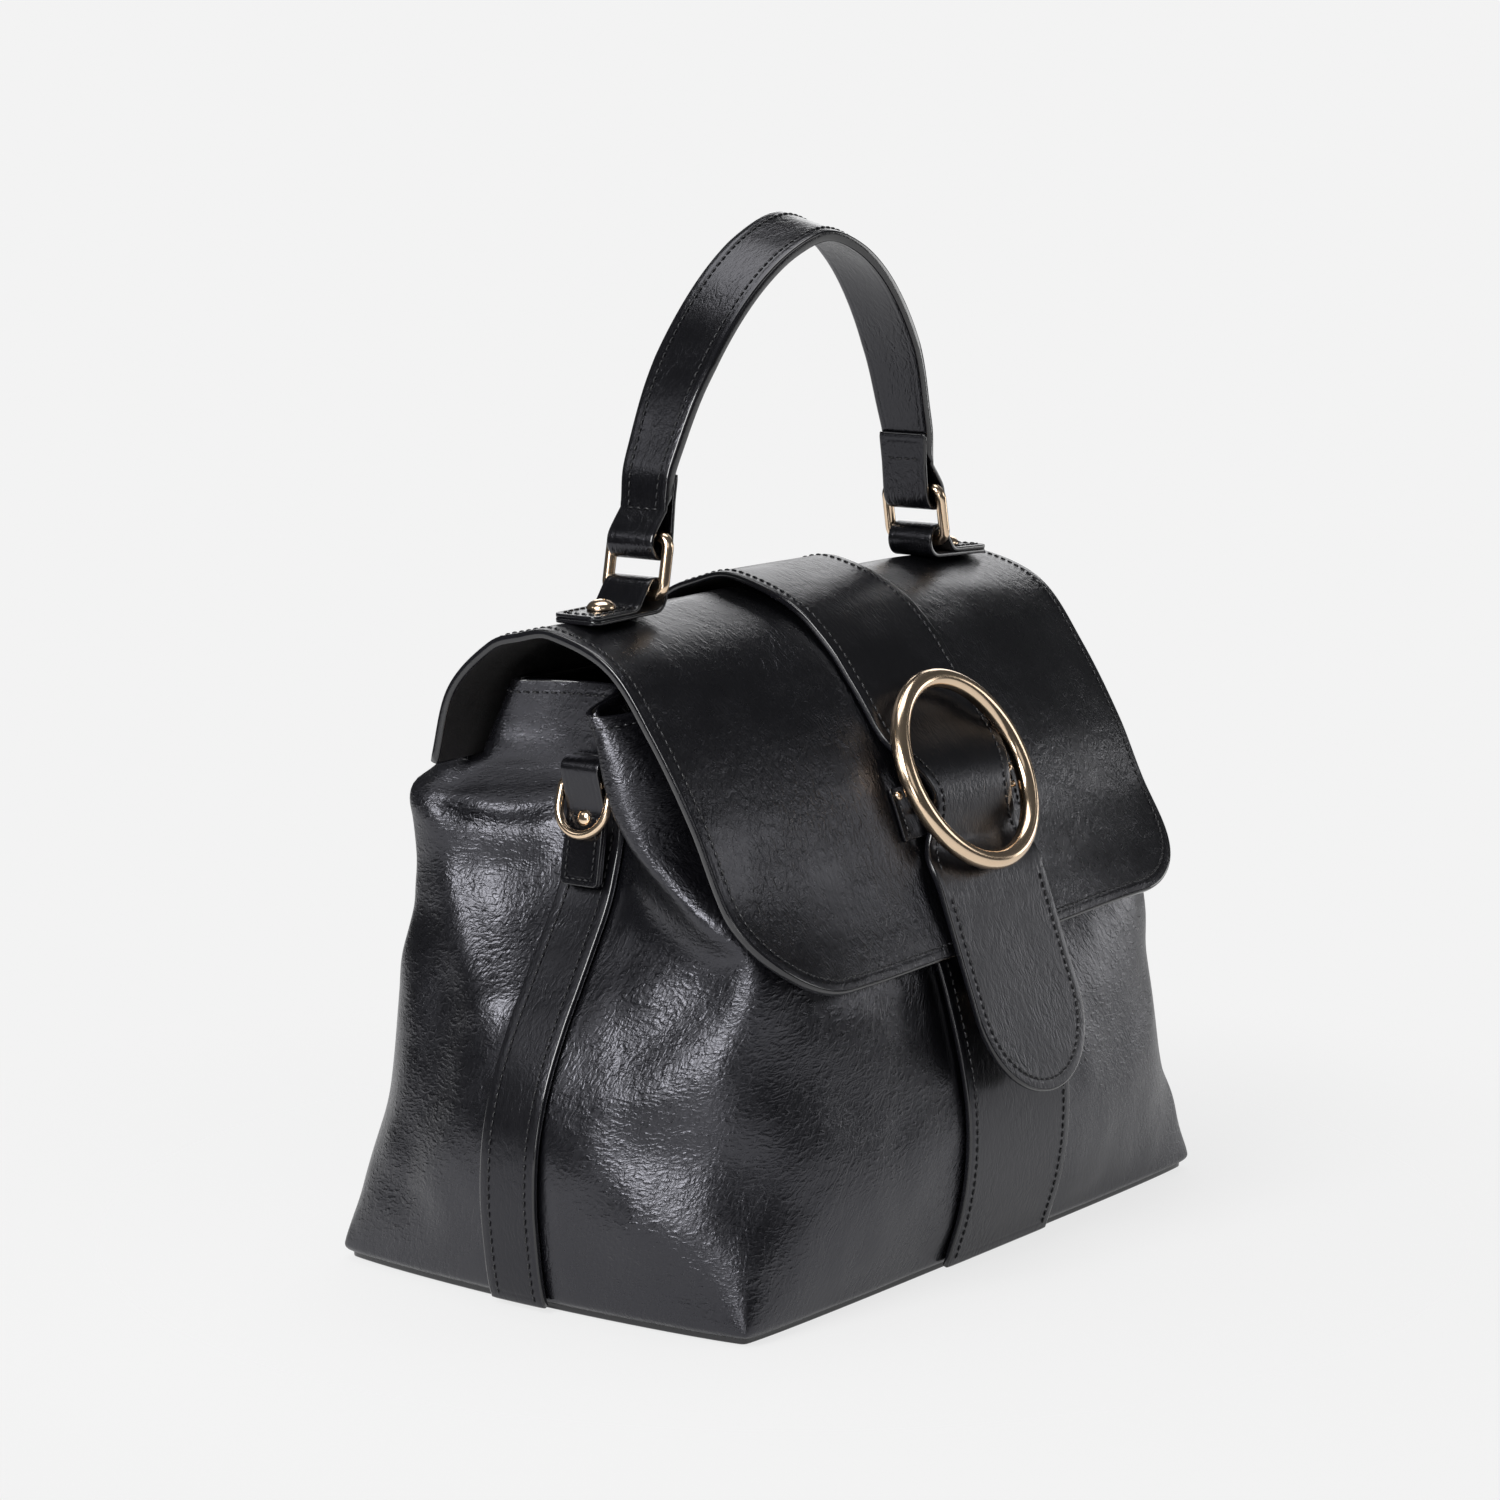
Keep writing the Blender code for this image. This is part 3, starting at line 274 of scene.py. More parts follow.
def grid_normals(face, wrap=False):
    """Unit normals of a grid of points, across the columns and then along the rows."""
    across = np.roll(face, -1, 1) - np.roll(face, 1, 1) if wrap else np.gradient(face, axis=1)
    return unit(np.cross(across, np.gradient(face, axis=0)))


def add_mesh(name, points, faces, finishes, looks=None):
    """A smooth mesh in the scene. looks gives each face the number of its finish."""
    mesh = bpy.data.meshes.new(name)
    mesh.from_pydata([tuple(p) for p in points], [], [tuple(int(i) for i in f) for f in faces])
    for finish in finishes:
        mesh.materials.append(finish)
    if looks is not None:
        mesh.polygons.foreach_set("material_index", np.asarray(looks, np.int32))
    mesh.polygons.foreach_set("use_smooth", np.ones(len(mesh.polygons), bool))
    mesh.update()
    piece = bpy.data.objects.new(name, mesh)
    scene.collection.objects.link(piece)
    return piece


class CutPiece:
    """A piece cut from leather or cloth. face is a grid of points on its outer side, the other
    side lies a thickness behind it, and the cut edge between the two is rounded."""

    def __init__(self, name, face, thickness, outer, rim=None, inner=None,
                 wrap=False, bulge=0.0007, steps=6):
        face = np.asarray(face, float)
        rows, cols = face.shape[:2]
        deep = np.broadcast_to(np.reshape(thickness, (-1, 1)), (rows, cols)).reshape(-1, 1)
        number = np.arange(rows * cols).reshape(rows, cols)
        if wrap:
            loops = [number[0], number[-1][::-1]]
        else:
            sides = number[0, :-1], number[:-1, -1], number[-1, :0:-1], number[:0:-1, 0]
            loops = [np.concatenate(sides)]
        points, normals = face.reshape(-1, 3), grid_normals(face, wrap).reshape(-1, 3)
        blocks = [points, points - normals * deep]
        i, j = np.meshgrid(np.arange(rows - 1), np.arange(cols if wrap else cols - 1), indexing="ij")
        after = (j + 1) % cols
        quads = np.stack([number[i, j], number[i, after], number[i + 1, after], number[i + 1, j]], -1)
        quads = quads.reshape(-1, 4)
        faces = [quads, quads[:, ::-1] + rows * cols]
        looks = [np.zeros(len(quads)), np.full(len(quads), 2)]
        self.loops = []
        total = 2 * rows * cols
        for loop in loops:
            edge, up, deep_here = points[loop], normals[loop], deep[loop]
            outward = unit(np.cross(np.roll(edge, -1, 0) - np.roll(edge, 1, 0), up))
            self.loops.append((edge, outward))
            rings = [loop]
            for angle in pi * np.arange(1, steps) / steps:
                turn, push = cos(angle), sin(angle)
                sunk = (1 - np.sign(turn) * abs(turn) ** 0.55) / 2
                blocks.append(edge - up * (deep_here * sunk) + outward * (bulge * push**0.55))
                rings.append(total + np.arange(len(loop)))
                total += len(loop)
            rings.append(loop + rows * cols)
            for low, high in zip(rings, rings[1:]):
                strip = np.stack([low, high, np.roll(high, -1), np.roll(low, -1)], -1)
                faces.append(strip)
                looks.append(np.ones(len(strip)))
        self.corners = [0, cols - 1, cols + rows - 2, 2 * cols + rows - 3, 2 * (rows + cols) - 4]
        self.face = face
        all_points = np.concatenate(blocks)
        finishes = [outer, rim or edge_paint, inner or suede_back]
        self.piece = add_mesh(name, all_points, np.concatenate(faces), finishes, np.concatenate(looks))
        self.quads = quads
        self.mark_hem(rows * cols, len(all_points))
        self.mark_flat(loops, steps, len(all_points))

    def mark_hem(self, count, total):
        """Writes each point's distance from the cut edge, for the finish near the edge."""
        tree_points = [p for edge, _ in self.loops for p in dense(edge, 0.0008)]
        tree = KDTree(len(tree_points))
        for i, p in enumerate(tree_points):
            tree.insert(p, i)
        tree.balance()
        values = np.zeros(total, np.float32)
        for i, p in enumerate(self.face.reshape(-1, 3)):
            values[i] = tree.find(p)[2]
        values[count:2 * count] = values[:count]
        self.mark("hem", values)

    def mark_flat(self, loops, steps, total):
        """Writes where each point lies on the flat leather, for the direction of its grain."""
        rows, cols = self.face.shape[:2]
        across = np.linalg.norm(np.diff(self.face, axis=1), axis=2).cumsum(axis=1)
        across = np.concatenate([np.zeros((rows, 1)), across], axis=1)
        across -= across[:, cols // 2:cols // 2 + 1]
        along = np.linalg.norm(np.diff(self.face[:, cols // 2], axis=0), axis=1).cumsum()
        along = np.broadcast_to(np.concatenate([[0], along])[:, None], (rows, cols))
        flat = np.stack([across, along, np.zeros((rows, cols))], -1).reshape(-1, 3)
        blocks = [flat, flat + (0, 0, 0.05)] + [flat[loop] for loop in loops for _ in range(1, steps)]
        self.mark("flat", np.concatenate(blocks).astype(np.float32), "FLOAT_VECTOR", "vector")

    def mark(self, name, values, kind="FLOAT", field="value"):
        self.piece.data.attributes.new(name, kind, "POINT").data.foreach_set(field, values.ravel())

    def surface(self):
        """A tree of the outer side, for setting stitches on it."""
        if not hasattr(self, "tree"):
            points = [Vector(p) for p in self.face.reshape(-1, 3)]
            self.tree = BVHTree.FromPolygons(points, [tuple(int(i) for i in q) for q in self.quads])
        return self.tree

    def hem_line(self, inset, first=0, last=None, loop=0):
        """A line on the outer side, inset from the cut edge, between two corners of the grid."""
        edge, outward = self.loops[loop]
        if last is None:
            chosen = np.arange(len(edge) + 1) % len(edge)
        else:
            chosen = np.arange(self.corners[first], self.corners[last] + 1) % len(edge)
        return edge[chosen] - outward[chosen] * inset


def dress(piece, body, *nodes):
    """Lets a piece move with a body in the place of some solids."""
    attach(piece, body)
    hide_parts(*nodes)


def dense(line, step, closed=True):
    """The same line with points no further apart than the step."""
    line = np.asarray(line, float)
    ends = np.concatenate([line[1:], line[:1]]) if closed else line[1:]
    found = []
    for a, b in zip(line, ends):
        count = max(1, int(np.linalg.norm(b - a) / step))
        found += [a + (b - a) * i / count for i in range(count)]
    return np.array(found + ([] if closed else [line[-1]]))


def sew(name, line, piece, body, pitch=0.0031, radius=0.00036, sides=6):
    """A row of saddle stitches along a line on a piece: each thread dips into the leather at its
    two ends and stands a little proud between them."""
    line = dense(line, 0.0004, closed=False)
    gaps = np.linalg.norm(np.diff(line, axis=0), axis=1)
    reach = np.concatenate([[0], np.cumsum(gaps)])
    count = max(1, round(reach[-1] / pitch))
    pitch = reach[-1] / count
    points, faces = [], []
    shape = (
        (0.12, -0.7, 0.55), (0.2, 0.25, 0.95), (0.5, 0.62, 1.05), (0.8, 0.25, 0.95),
        (0.88, -0.7, 0.55),
    )
    for k in range(count):
        rings = []
        for share, proud, thick in shape:
            near = (k + share) * pitch + np.array((0, 0.0006, -0.0006))
            spot, ahead, behind = (
                Vector([np.interp(v, reach, line[:, c]) for c in range(3)]) for v in near
            )
            found, normal, _, _ = piece.surface().find_nearest(spot)
            side = (ahead - behind).cross(normal).normalized()
            skew = side * ((share - 0.5) * radius * 0.9)
            middle = found + normal * (proud * radius) + skew
            base = len(points)
            for s in range(sides):
                angle = 2 * pi * s / sides
                aside, up = cos(angle) * radius * thick, sin(angle) * radius * thick
                points.append(middle + (side * aside + normal * up))
            rings.append(base)
        for low, high in zip(rings, rings[1:]):
            steps = [(s, (s + 1) % sides) for s in range(sides)]
            faces += [(low + s, high + s, high + t, low + t) for s, t in steps]
        faces.append(tuple(rings[0] + s for s in range(sides)))
        faces.append(tuple(rings[-1] + s for s in reversed(range(sides))))
    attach(add_mesh(name, points, faces, [thread]), body)


def sew_sides(name, piece, inset, body, pitch=0.0031):
    """A row of stitches down each of the two long edges of a piece."""
    for first in (1, 3):
        sew(f"{name}_{first}", piece.hem_line(inset, first, first + 1), piece, body, pitch)


def start_group(name, inputs, outputs):
    """A shader node group with named inputs and outputs, each a name, a kind and a default."""
    group = bpy.data.node_groups.new(name, "ShaderNodeTree")
    for label, kind, value in inputs:
        socket = group.interface.new_socket(label, in_out="INPUT", socket_type="NodeSocket" + kind)
        if value is not None:
            socket.default_value = value
    for label, kind in outputs:
        group.interface.new_socket(label, in_out="OUTPUT", socket_type="NodeSocket" + kind)
    return group, group.nodes.new("NodeGroupInput").outputs, group.nodes.new("NodeGroupOutput").inputs


def noise_at(tree, vector, scale, detail=2.0, roughness=0.5, output=0):
    """A noise at a place. Output 0 is its value and 1 its colour."""
    sockets = {"Vector": vector, "Scale": scale, "Detail": detail, "Roughness": roughness}
    return add_node(tree, "TexNoise", sockets).outputs[output]


def moved_by(tree, operation, *values):
    """A vector math node on vectors or output sockets. Returns its output."""
    return add_node(tree, "VectorMath", dict(enumerate(values)), operation=operation).outputs[0]


def shift(tree, vector, by, amount):
    """The vector moved by a colour noise of the given amount."""
    centred = moved_by(tree, "SUBTRACT", by, (0.5, 0.5, 0.5))
    scaled = add_node(tree, "VectorMath", {0: centred, "Scale": amount}, operation="SCALE")
    return moved_by(tree, "ADD", vector, scaled.outputs[0])


# The grain of the coated leather: long fine wrinkles over small cells, deeper where the
# leather has been worked, and a soft unevenness under all of it.
leather_grain, grain_in, grain_out = start_group(
    "leather_grain",
    [("Flat", "Vector", None), ("Pitch", "Float", 1.0), ("Worked", "Float", 0.0)],
    [("Height", "Float"), ("Crease", "Float"), ("Cloud", "Float")],
)


def ridges(tree, vector, scale, width, detail=2.0):
    """Thin wandering lines, 1 on a line and 0 beside it."""
    noise = noise_at(tree, vector, scale, detail, 0.55)
    off = calc(tree, "ABSOLUTE", calc(tree, "MULTIPLY_ADD", noise, 2.0, -1.0))
    return ramp(tree, off, 0.0, width, 1.0, 0.0)


tree = leather_grain
pitched = {0: grain_in["Flat"], "Scale": grain_in["Pitch"]}
sized = add_node(tree, "VectorMath", pitched, operation="SCALE").outputs[0]
wander = shift(tree, sized, noise_at(tree, sized, 70, 2, output=1), 0.006)
long_lines = moved_by(tree, "MULTIPLY", wander, (1.0, 0.42, 1.0))
wide_lines = ridges(tree, long_lines, 170, 0.20)
thin_lines = ridges(tree, long_lines, 420, 0.30, 1.0)
cells = add_node(tree, "TexVoronoi", {"Vector": wander, "Scale": 620}, feature="DISTANCE_TO_EDGE")
cells = ramp(tree, cells.outputs["Distance"], 0.0, 0.26, 1.0, 0.0)
cloud = ramp(tree, noise_at(tree, sized, 22, 2), 0.36, 0.66)
strength = calc(tree, "MULTIPLY_ADD", calc(tree, "MAXIMUM", cloud, grain_in["Worked"]), 0.7, 0.3)
creases = calc(tree, "MULTIPLY_ADD", wide_lines, 0.55, calc(tree, "MULTIPLY", thin_lines, 0.30))
creases = calc(tree, "MULTIPLY", calc(tree, "MULTIPLY_ADD", cells, 0.22, creases), strength)
turned_lines = moved_by(tree, "MULTIPLY", wander, (0.45, 1.0, 1.0))
cracks = calc(tree, "MULTIPLY", ridges(tree, turned_lines, 330, 0.45, 2.0), 1.3)
creases = calc(tree, "MULTIPLY_ADD", cracks, grain_in["Worked"], creases)
soft = calc(tree, "MULTIPLY", noise_at(tree, sized, 48, 3), 1.5)
lumps = calc(tree, "MULTIPLY_ADD", noise_at(tree, sized, 2100, 1), 0.20, soft)
tree.links.new(calc(tree, "SUBTRACT", lumps, creases), grain_out["Height"])
tree.links.new(creases, grain_out["Crease"])
tree.links.new(cloud, grain_out["Cloud"])

# What sewing does near a cut edge: a shallow groove under the stitches and an edge that is
# skived thinner.
sewn_hem, hem_in, hem_out = start_group(
    "sewn_hem",
    [("Hem", "Float", 0.05), ("Inset", "Float", 0.003)],
    [("Height", "Float"), ("Edge", "Float")],
)
tree = sewn_hem
off_line = calc(tree, "ABSOLUTE", calc(tree, "SUBTRACT", hem_in["Hem"], hem_in["Inset"]))
skived = ramp(tree, hem_in["Hem"], 0.0, 0.0016)
thinned = calc(tree, "MULTIPLY", skived, 0.5)
groove = calc(tree, "MULTIPLY_ADD", ramp(tree, off_line, 0.0, 0.0011), 0.6, thinned)
tree.links.new(groove, hem_out["Height"])
tree.links.new(calc(tree, "SUBTRACT", 1.0, skived), hem_out["Edge"])


def new_finish(name):
    """A new material, its node tree and its shader."""
    finish = bpy.data.materials.new(name)
    finish.use_nodes = True
    return finish, finish.node_tree, finish.node_tree.nodes["Principled BSDF"]


def roughen(tree, shader, height, depth, strength=1.0):
    """Feeds the shader's normal from a height."""
    bump = add_node(tree, "Bump", {"Strength": strength, "Distance": depth, "Height": height})
    tree.links.new(bump.outputs[0], shader.inputs["Normal"])


def tint(tree, shader, share, colour, low, high, lift=0.0):
    """Varies the shader's colour by a share, between the colour times low and times high."""
    first, second = [c * low for c in colour], [min(1, c * high + lift) for c in colour]
    mix = add_node(tree, "Mix", {0: share, 6: (*first, 1), 7: (*second, 1)}, data_type="RGBA")
    tree.links.new(mix.outputs[2], shader.inputs["Base Color"])


def coated_leather(name, colour, rough, shine, pitch, depth, inset=0.003):
    """Leather with a glossy coating, which follows its grain. shine is how much it mirrors."""
    finish, tree, shader = new_finish(name)
    names = "flat", "worked", "hem"
    flat, worked, hem = (add_node(tree, "Attribute", attribute_name=name) for name in names)
    sockets = {"Flat": flat.outputs["Vector"], "Pitch": pitch, "Worked": worked.outputs["Fac"]}
    grain = add_node(tree, "Group", sockets, node_tree=leather_grain).outputs
    sockets = {"Hem": hem.outputs["Fac"], "Inset": inset}
    edge = add_node(tree, "Group", sockets, node_tree=sewn_hem).outputs
    roughen(tree, shader, calc(tree, "MULTIPLY_ADD", edge["Height"], 0.9, grain["Height"]), depth)
    worn = calc(tree, "MULTIPLY_ADD", edge["Edge"], 0.5, calc(tree, "MULTIPLY", grain["Cloud"], 0.30))
    tint(tree, shader, worn, colour, 1.0, 1.9, 0.003)
    tree.links.new(calc(tree, "MULTIPLY_ADD", grain["Crease"], 0.07, rough), shader.inputs["Roughness"])
    shader.inputs["Specular IOR Level"].default_value = shine
    shader.inputs["Specular Tint"].default_value = (0.90, 0.90, 1.0, 1)
    return finish


def plain_finish(name, colour, rough, bump_scale, bump_depth, coat=0.0):
    """A finish with a fine unevenness in its colour, its shine and its surface."""
    finish, tree, shader = new_finish(name)
    place = add_node(tree, "TexCoord").outputs["Object"]
    cloud = noise_at(tree, place, 180, 3)
    tint(tree, shader, cloud, colour, 0.88, 1.1)
    uneven = calc(tree, "MULTIPLY_ADD", cloud, rough * 0.5, rough * 0.75)
    tree.links.new(uneven, shader.inputs["Roughness"])
    shader.inputs["Coat Weight"].default_value = coat
    roughen(tree, shader, noise_at(tree, place, bump_scale, 2), bump_depth)
    return finish


gloss_leather = coated_leather("gloss_leather", (0.0018, 0.0018, 0.0026), 0.23, 0.80, 1.4, 0.000105)
edge_paint = plain_finish("edge_paint", (0.006, 0.006, 0.008), 0.17, 600, 0.00006, coat=0.6)
suede_back = plain_finish("leather_back", (0.030, 0.027, 0.025), 0.85, 1500, 0.0001)
thread = plain_finish("waxed_thread", (0.009, 0.009, 0.011), 0.30, 2600, 0.00010)

body_steps = 116
roll_low, roll = 0.0022, 0.0030
heights = np.concatenate([
    roll_low + roll * (1 - np.cos(np.linspace(0, pi / 2, 8))),
    np.linspace(roll_low + roll, 0.150, 84)[1:], np.linspace(0.150, body_height, 44)[1:],
])
body_face = np.array([body_loop(height, body_steps) for height in heights])
turned_in = roll - np.sqrt(np.maximum(0, roll**2 - (roll - np.minimum(roll, heights - roll_low)) ** 2))
body_face[..., 0] *= 1 - turned_in[:, None] / half_width
body_face[..., 1] *= 1 - turned_in[:, None] / 0.088
body_normals = grid_normals(body_face, wrap=True)


def crease_depth(points, path, width):
    """How near each point lies to a path, from 1 on it to 0 a width away."""
    nearest = np.full(points.shape[:2], 1e9)
    for a, b in zip(path, path[1:]):
        along = b - a
        share = np.clip(((points - a) @ along) / (along @ along), 0, 1)
        nearest = np.minimum(nearest, np.linalg.norm(points - a - share[..., None] * along, axis=-1))
    return np.exp(-((nearest / width) ** 2))


# The folds in millimetres: each has a reach, a height and a path on the body's left side. Those
# with a negative height are creases. The right side has the same folds, weaker.
body_folds = (
    (5, -3, (-114.6, 65.6, 165.9), (-113.8, 55.9, 162.3), (-111.2, 47, 161.1), (-108.5, 38.1, 160.7),
     (-105.8, 29.2, 161.9), (-103.1, 18.2, 164.8)),
    (13, 3.6, (-116, 66, 169), (-111, 62, 170.5)),
    (8.5, 2.2, (-115, 60, 156), (-112.2, 50, 152), (-109.5, 39.6, 150.5), (-106, 27, 152)),
    (10, 3.4, (-114.9, 61.7, 160), (-116.1, 58.7, 147.7), (-118.8, 52.2, 131.4), (-125.1, 40.3, 113),
     (-132.9, 27.2, 98.8)),
    (15, -1.2, (-110, 37, 138), (-117, 31, 123), (-125, 24, 109)),
    (10, -1.6, (-118, -75.3, 121.7), (-122.8, -64.7, 117.8), (-126.4, -55, 108.8),
     (-131.8, -46.8, 98.6), (-137, -38, 90)),
    (10, 1.2, (-120, -64, 132), (-125, -51, 124), (-131, -40, 113)),
    (10, 1.6, (-120, -74.5, 115), (-121.2, -73.6, 108.4), (-125.1, -72.4, 97.7), (-130.3, -68.2, 86.4)),
    (5, 0.5, (-128.2, -21.6, 185.3), (-129, -30.4, 169.7), (-127.7, -39.7, 153.9),
     (-121.6, -55.6, 141.5), (-117.3, -74.8, 123.2)),
    (15, 2.6, (-121.5, -33, 185), (-119, -47, 169), (-114, -64, 150)),
    (12, 2.2, (-147.4, -50.4, 35.2), (-140.2, -69.5, 33.4), (-134.3, -81.3, 27.4)),
    (12, -2.4, (-145.7, -49.2, 60), (-138, -72, 57), (-130, -84, 54)),
    (12, -2.6, (-133.3, 46.9, 96.2), (-142.6, 43.8, 70.5), (-146.1, 54.9, 34.4)),
    (12, -1.4, (-119, -84, 90), (-98, -93, 76), (-70, -98, 60)),
)
mm = 0.001
worked_in = np.zeros(body_face.shape[:2])
moved = np.zeros(body_face.shape[:2])
for reach, rise, *path in body_folds:
    for side, share in ((1, 1.0), (-1, 0.75)):
        line = np.array(path) * (side * mm, mm, mm)
        moved += crease_depth(body_face, line, reach * mm) * rise * mm * share
        worked_in = np.maximum(worked_in, crease_depth(body_face, line, reach * mm * 2.2))
spots = [[Vector(v) for v in row] for row in body_face]
slack = 0.0009 * np.array([[noise.noise(v * 26) for v in row] for row in spots])
slack += 0.0004 * np.array([[noise.noise(v * 70 + Vector((3, 1, 7))) for v in row] for row in spots])
x, y, z = (np.abs(body_face[..., i]) for i in range(3))
free = (1 - falloff(x, 0.042)) * np.clip(z / 0.014, 0, 1) * np.clip((body_height - z) / 0.01, 0, 1)
free *= np.where((x > 0.09) & (z < 0.19), np.clip((y - 0.0125) / 0.008, 0, 1), 1)
moved = (moved + slack) * free
worked_in = np.maximum(worked_in, np.clip((z - 0.13) / 0.05, 0, 0.4))
body_face = body_face + body_normals * moved[..., None]
body = CutPiece("body_shell", body_face, body_leather, gloss_leather, wrap=True)
worked = np.zeros(len(body.piece.data.vertices), np.float32)
worked[:worked_in.size] = worked_in.ravel()
body.mark("worked", worked)
dress(body.piece, "bag", "body_front", "body_back")
sew("mouth_seam", body.hem_line(0.0038, loop=1), body, "bag")


# Base
# A stiff base covered in leather, sewn to the walls all round. Inside it a board carries the
# bag's floor, which is covered in lining cloth.
side_bottom = 0.0034
base_leather = 0.0025
base_inset = 0.0032
floor_inset = 0.0043
floor_top = 0.0072
lining_cloth = 0.0010


def smooth_line(line, rounds):
    """The same line or grid with its rows evened out a little in each round."""
    line = line.copy()
    for _ in range(rounds):
        line[1:-1] = (line[:-2] + line[1:-1] * 2 + line[2:]) / 4
    return line


def plan_sheet(height, inset, z, rows=14, cols=60, rounds=0):
    """A level sheet that fills the body's outline at a height, drawn in by the inset. Each round
    softens its corners a little more."""
    across = np.linspace(-1, 1, cols)
    edges = []
    for back in (False, True):
        line = body_quarter(height, back, np.abs(across))
        line[:, 0] *= np.where(across < 0, -1, 1)
        line[:, 2] = z
        ahead = unit(np.gradient(line, axis=0))
        inward = np.stack([-ahead[:, 1], ahead[:, 0], np.zeros(cols)], 1) * (-1 if back else 1)
        line = line + inward * inset
        edges.append(smooth_line(line, rounds))
    share = np.linspace(0, 1, rows)[:, None, None]
    return edges[0][None] * (1 - share) + edges[1][None] * share


underside = plan_sheet(side_bottom, base_inset, 0.0003, cols=90, rounds=10)[:, ::-1]
base = CutPiece("base_cover", underside, base_leather, gloss_leather, bulge=0.0005)
dress(base.piece, "bag", "base_panel")
sew("base_seam", base.hem_line(0.0045), base, "bag")

board_finish = plain_finish("pressed_board", (0.13, 0.10, 0.075), 0.9, 900, 0.0002)
cad_nodes["base_board"].material_slots[0].material = board_finish


# Lining
# Black twill sewn as a bag of its own. Its top edge is covered by a facing of the body's
# leather, and a patch pocket is sewn on its back wall.
lining_gap = 0.0011
facing_bottom = 0.1905
facing_leather = 0.0012
pocket_width = 0.130
pocket_low, pocket_high = 0.070, 0.145


def woven(name, colour, scale=1400):
    """Cloth with slanting twill ribs and a slightly uneven dye."""
    finish, tree, shader = new_finish(name)
    place = add_node(tree, "TexCoord").outputs["Object"]
    sockets = {"Vector": place, "Scale": scale / 2, "Distortion": 0.6, "Detail": 1.0}
    wave = add_node(tree, "TexWave", sockets, wave_type="BANDS", bands_direction="DIAGONAL")
    wave = wave.outputs["Fac"]
    cloud = noise_at(tree, place, 60, 3)
    dye = calc(tree, "MULTIPLY_ADD", wave, 0.5, calc(tree, "MULTIPLY", cloud, 0.5))
    tint(tree, shader, dye, colour, 0.7, 1.25)
    roughen(tree, shader, calc(tree, "MULTIPLY_ADD", wave, 1.0, cloud), 0.00018, 0.8)
    tree.links.new(calc(tree, "MULTIPLY_ADD", cloud, 0.2, 0.6), shader.inputs["Roughness"])
    shader.inputs["Sheen Weight"].default_value = 0.25
    return finish


lining_twill = woven("lining_twill", (0.022, 0.022, 0.026))
inside = body_leather + lining_gap


def inner_wall(low, high, depth, rows=40, step=4):
    """The body's wall moved inwards by a depth, between two heights."""
    levels = np.linspace(low, high, rows)
    wall = body_face - body_normals * depth
    found = []
    for level in levels:
        place = np.interp(level, heights, np.arange(len(heights)))
        index = min(int(place), len(heights) - 2)
        found.append(wall[index] * (1 - place + index) + wall[index + 1] * (place - index))
    return np.array(found)[:, ::step]


cloth = {"rim": lining_twill, "inner": lining_twill, "bulge": 0.0003, "steps": 2}
lining_face = inner_wall(0.0090, 0.1902, inside)
lining = CutPiece("lining_walls", lining_face, lining_cloth, lining_twill, wrap=True, **cloth)
dress(lining.piece, "bag", "lining_front", "lining_back")
floor_face = plan_sheet(side_bottom, floor_inset, floor_top)
floor = CutPiece("lining_floor", floor_face, lining_cloth, lining_twill, **cloth)
dress(floor.piece, "bag", "lining_base")
facing_face = inner_wall(facing_bottom, body_height - 0.0003, inside, rows=8, step=3)
facing = CutPiece("mouth_facing", facing_face, facing_leather, suede_back, inner=gloss_leather,
                  wrap=True, bulge=0.0004)
dress(facing.piece, "bag", "mouth_facing_front", "mouth_facing_back")


def wall_strip(width, low, high, lift, back=False, cols=24, rows=60):
    """A strip of the front or back wall with straight upright edges, lifted off the wall."""
    dense_across = np.linspace(0, 0.5, 160)
    x = np.linspace(-width / 2, width / 2, cols) * (-1 if back else 1)
    grid = []
    for level in np.linspace(low, high, rows):
        wall = body_quarter(level, back, dense_across)
        grid.append([x, *(np.interp(np.abs(x), wall[:, 0], wall[:, c]) for c in (1, 2))])
    grid = np.array(grid).transpose(0, 2, 1)
    return grid + grid_normals(grid) * lift


pocket_lift = -inside - lining_cloth - 0.0006
pocket_face = wall_strip(pocket_width, pocket_low, pocket_high, pocket_lift, back=True, cols=40)
pocket = CutPiece("inner_pocket_cloth", pocket_face, lining_cloth, lining_twill, **cloth)
dress(pocket.piece, "bag", "inner_pocket")


# Front band
# A strip of the same leather, edge painted and sewn down the middle of the front wall. The
# strap's tongue closes on it. The leather is cut narrower by the room that its edges take.
strap_leather = coated_leather("satin_leather", (0.0020, 0.0020, 0.0027), 0.28, 0.60, 1.6, 0.00010)
strap_width = 0.0628
edge_room = 0.0006
band_leather = 0.0022
band_face = wall_strip(strap_width - 2 * edge_room, side_bottom, body_height, 0.0006 + band_leather)
band = CutPiece("front_band_leather", band_face, band_leather, strap_leather)
dress(band.piece, "bag", "front_band")
sew_sides("front_band_seam", band, 0.0035, "bag")


# Side straps
# One strap sewn over each side seam, from the base up to under the D-ring's tab, edge painted
# and stitched down both edges.
side_strap_width = 0.0230
side_strap_leather = 0.0022
side_strap_seat = 0.0009
strap_inset = 0.0034
side_strap_top = body_height * 0.882


def side_strip(width, side, low, high, lift, cols=14, rows=110):
    """A strip of wall over a side seam, lifted off it."""
    dense_across = np.linspace(0.5, 1, 400)
    y = np.linspace(-width / 2, width / 2, cols) * side
    grid = []
    for level in np.linspace(low, high, rows):
        walls = {back: body_quarter(level, back, dense_across)[::-1] for back in (False, True)}
        row = []
        for v in y:
            wall = walls[bool(v > 0)]
            x, z = (np.interp(abs(v), np.abs(wall[:, 1]), wall[:, c]) for c in (0, 2))
            row.append([side * x, v, z])
        grid.append(row)
    grid = np.array(grid)
    return grid + grid_normals(grid) * lift


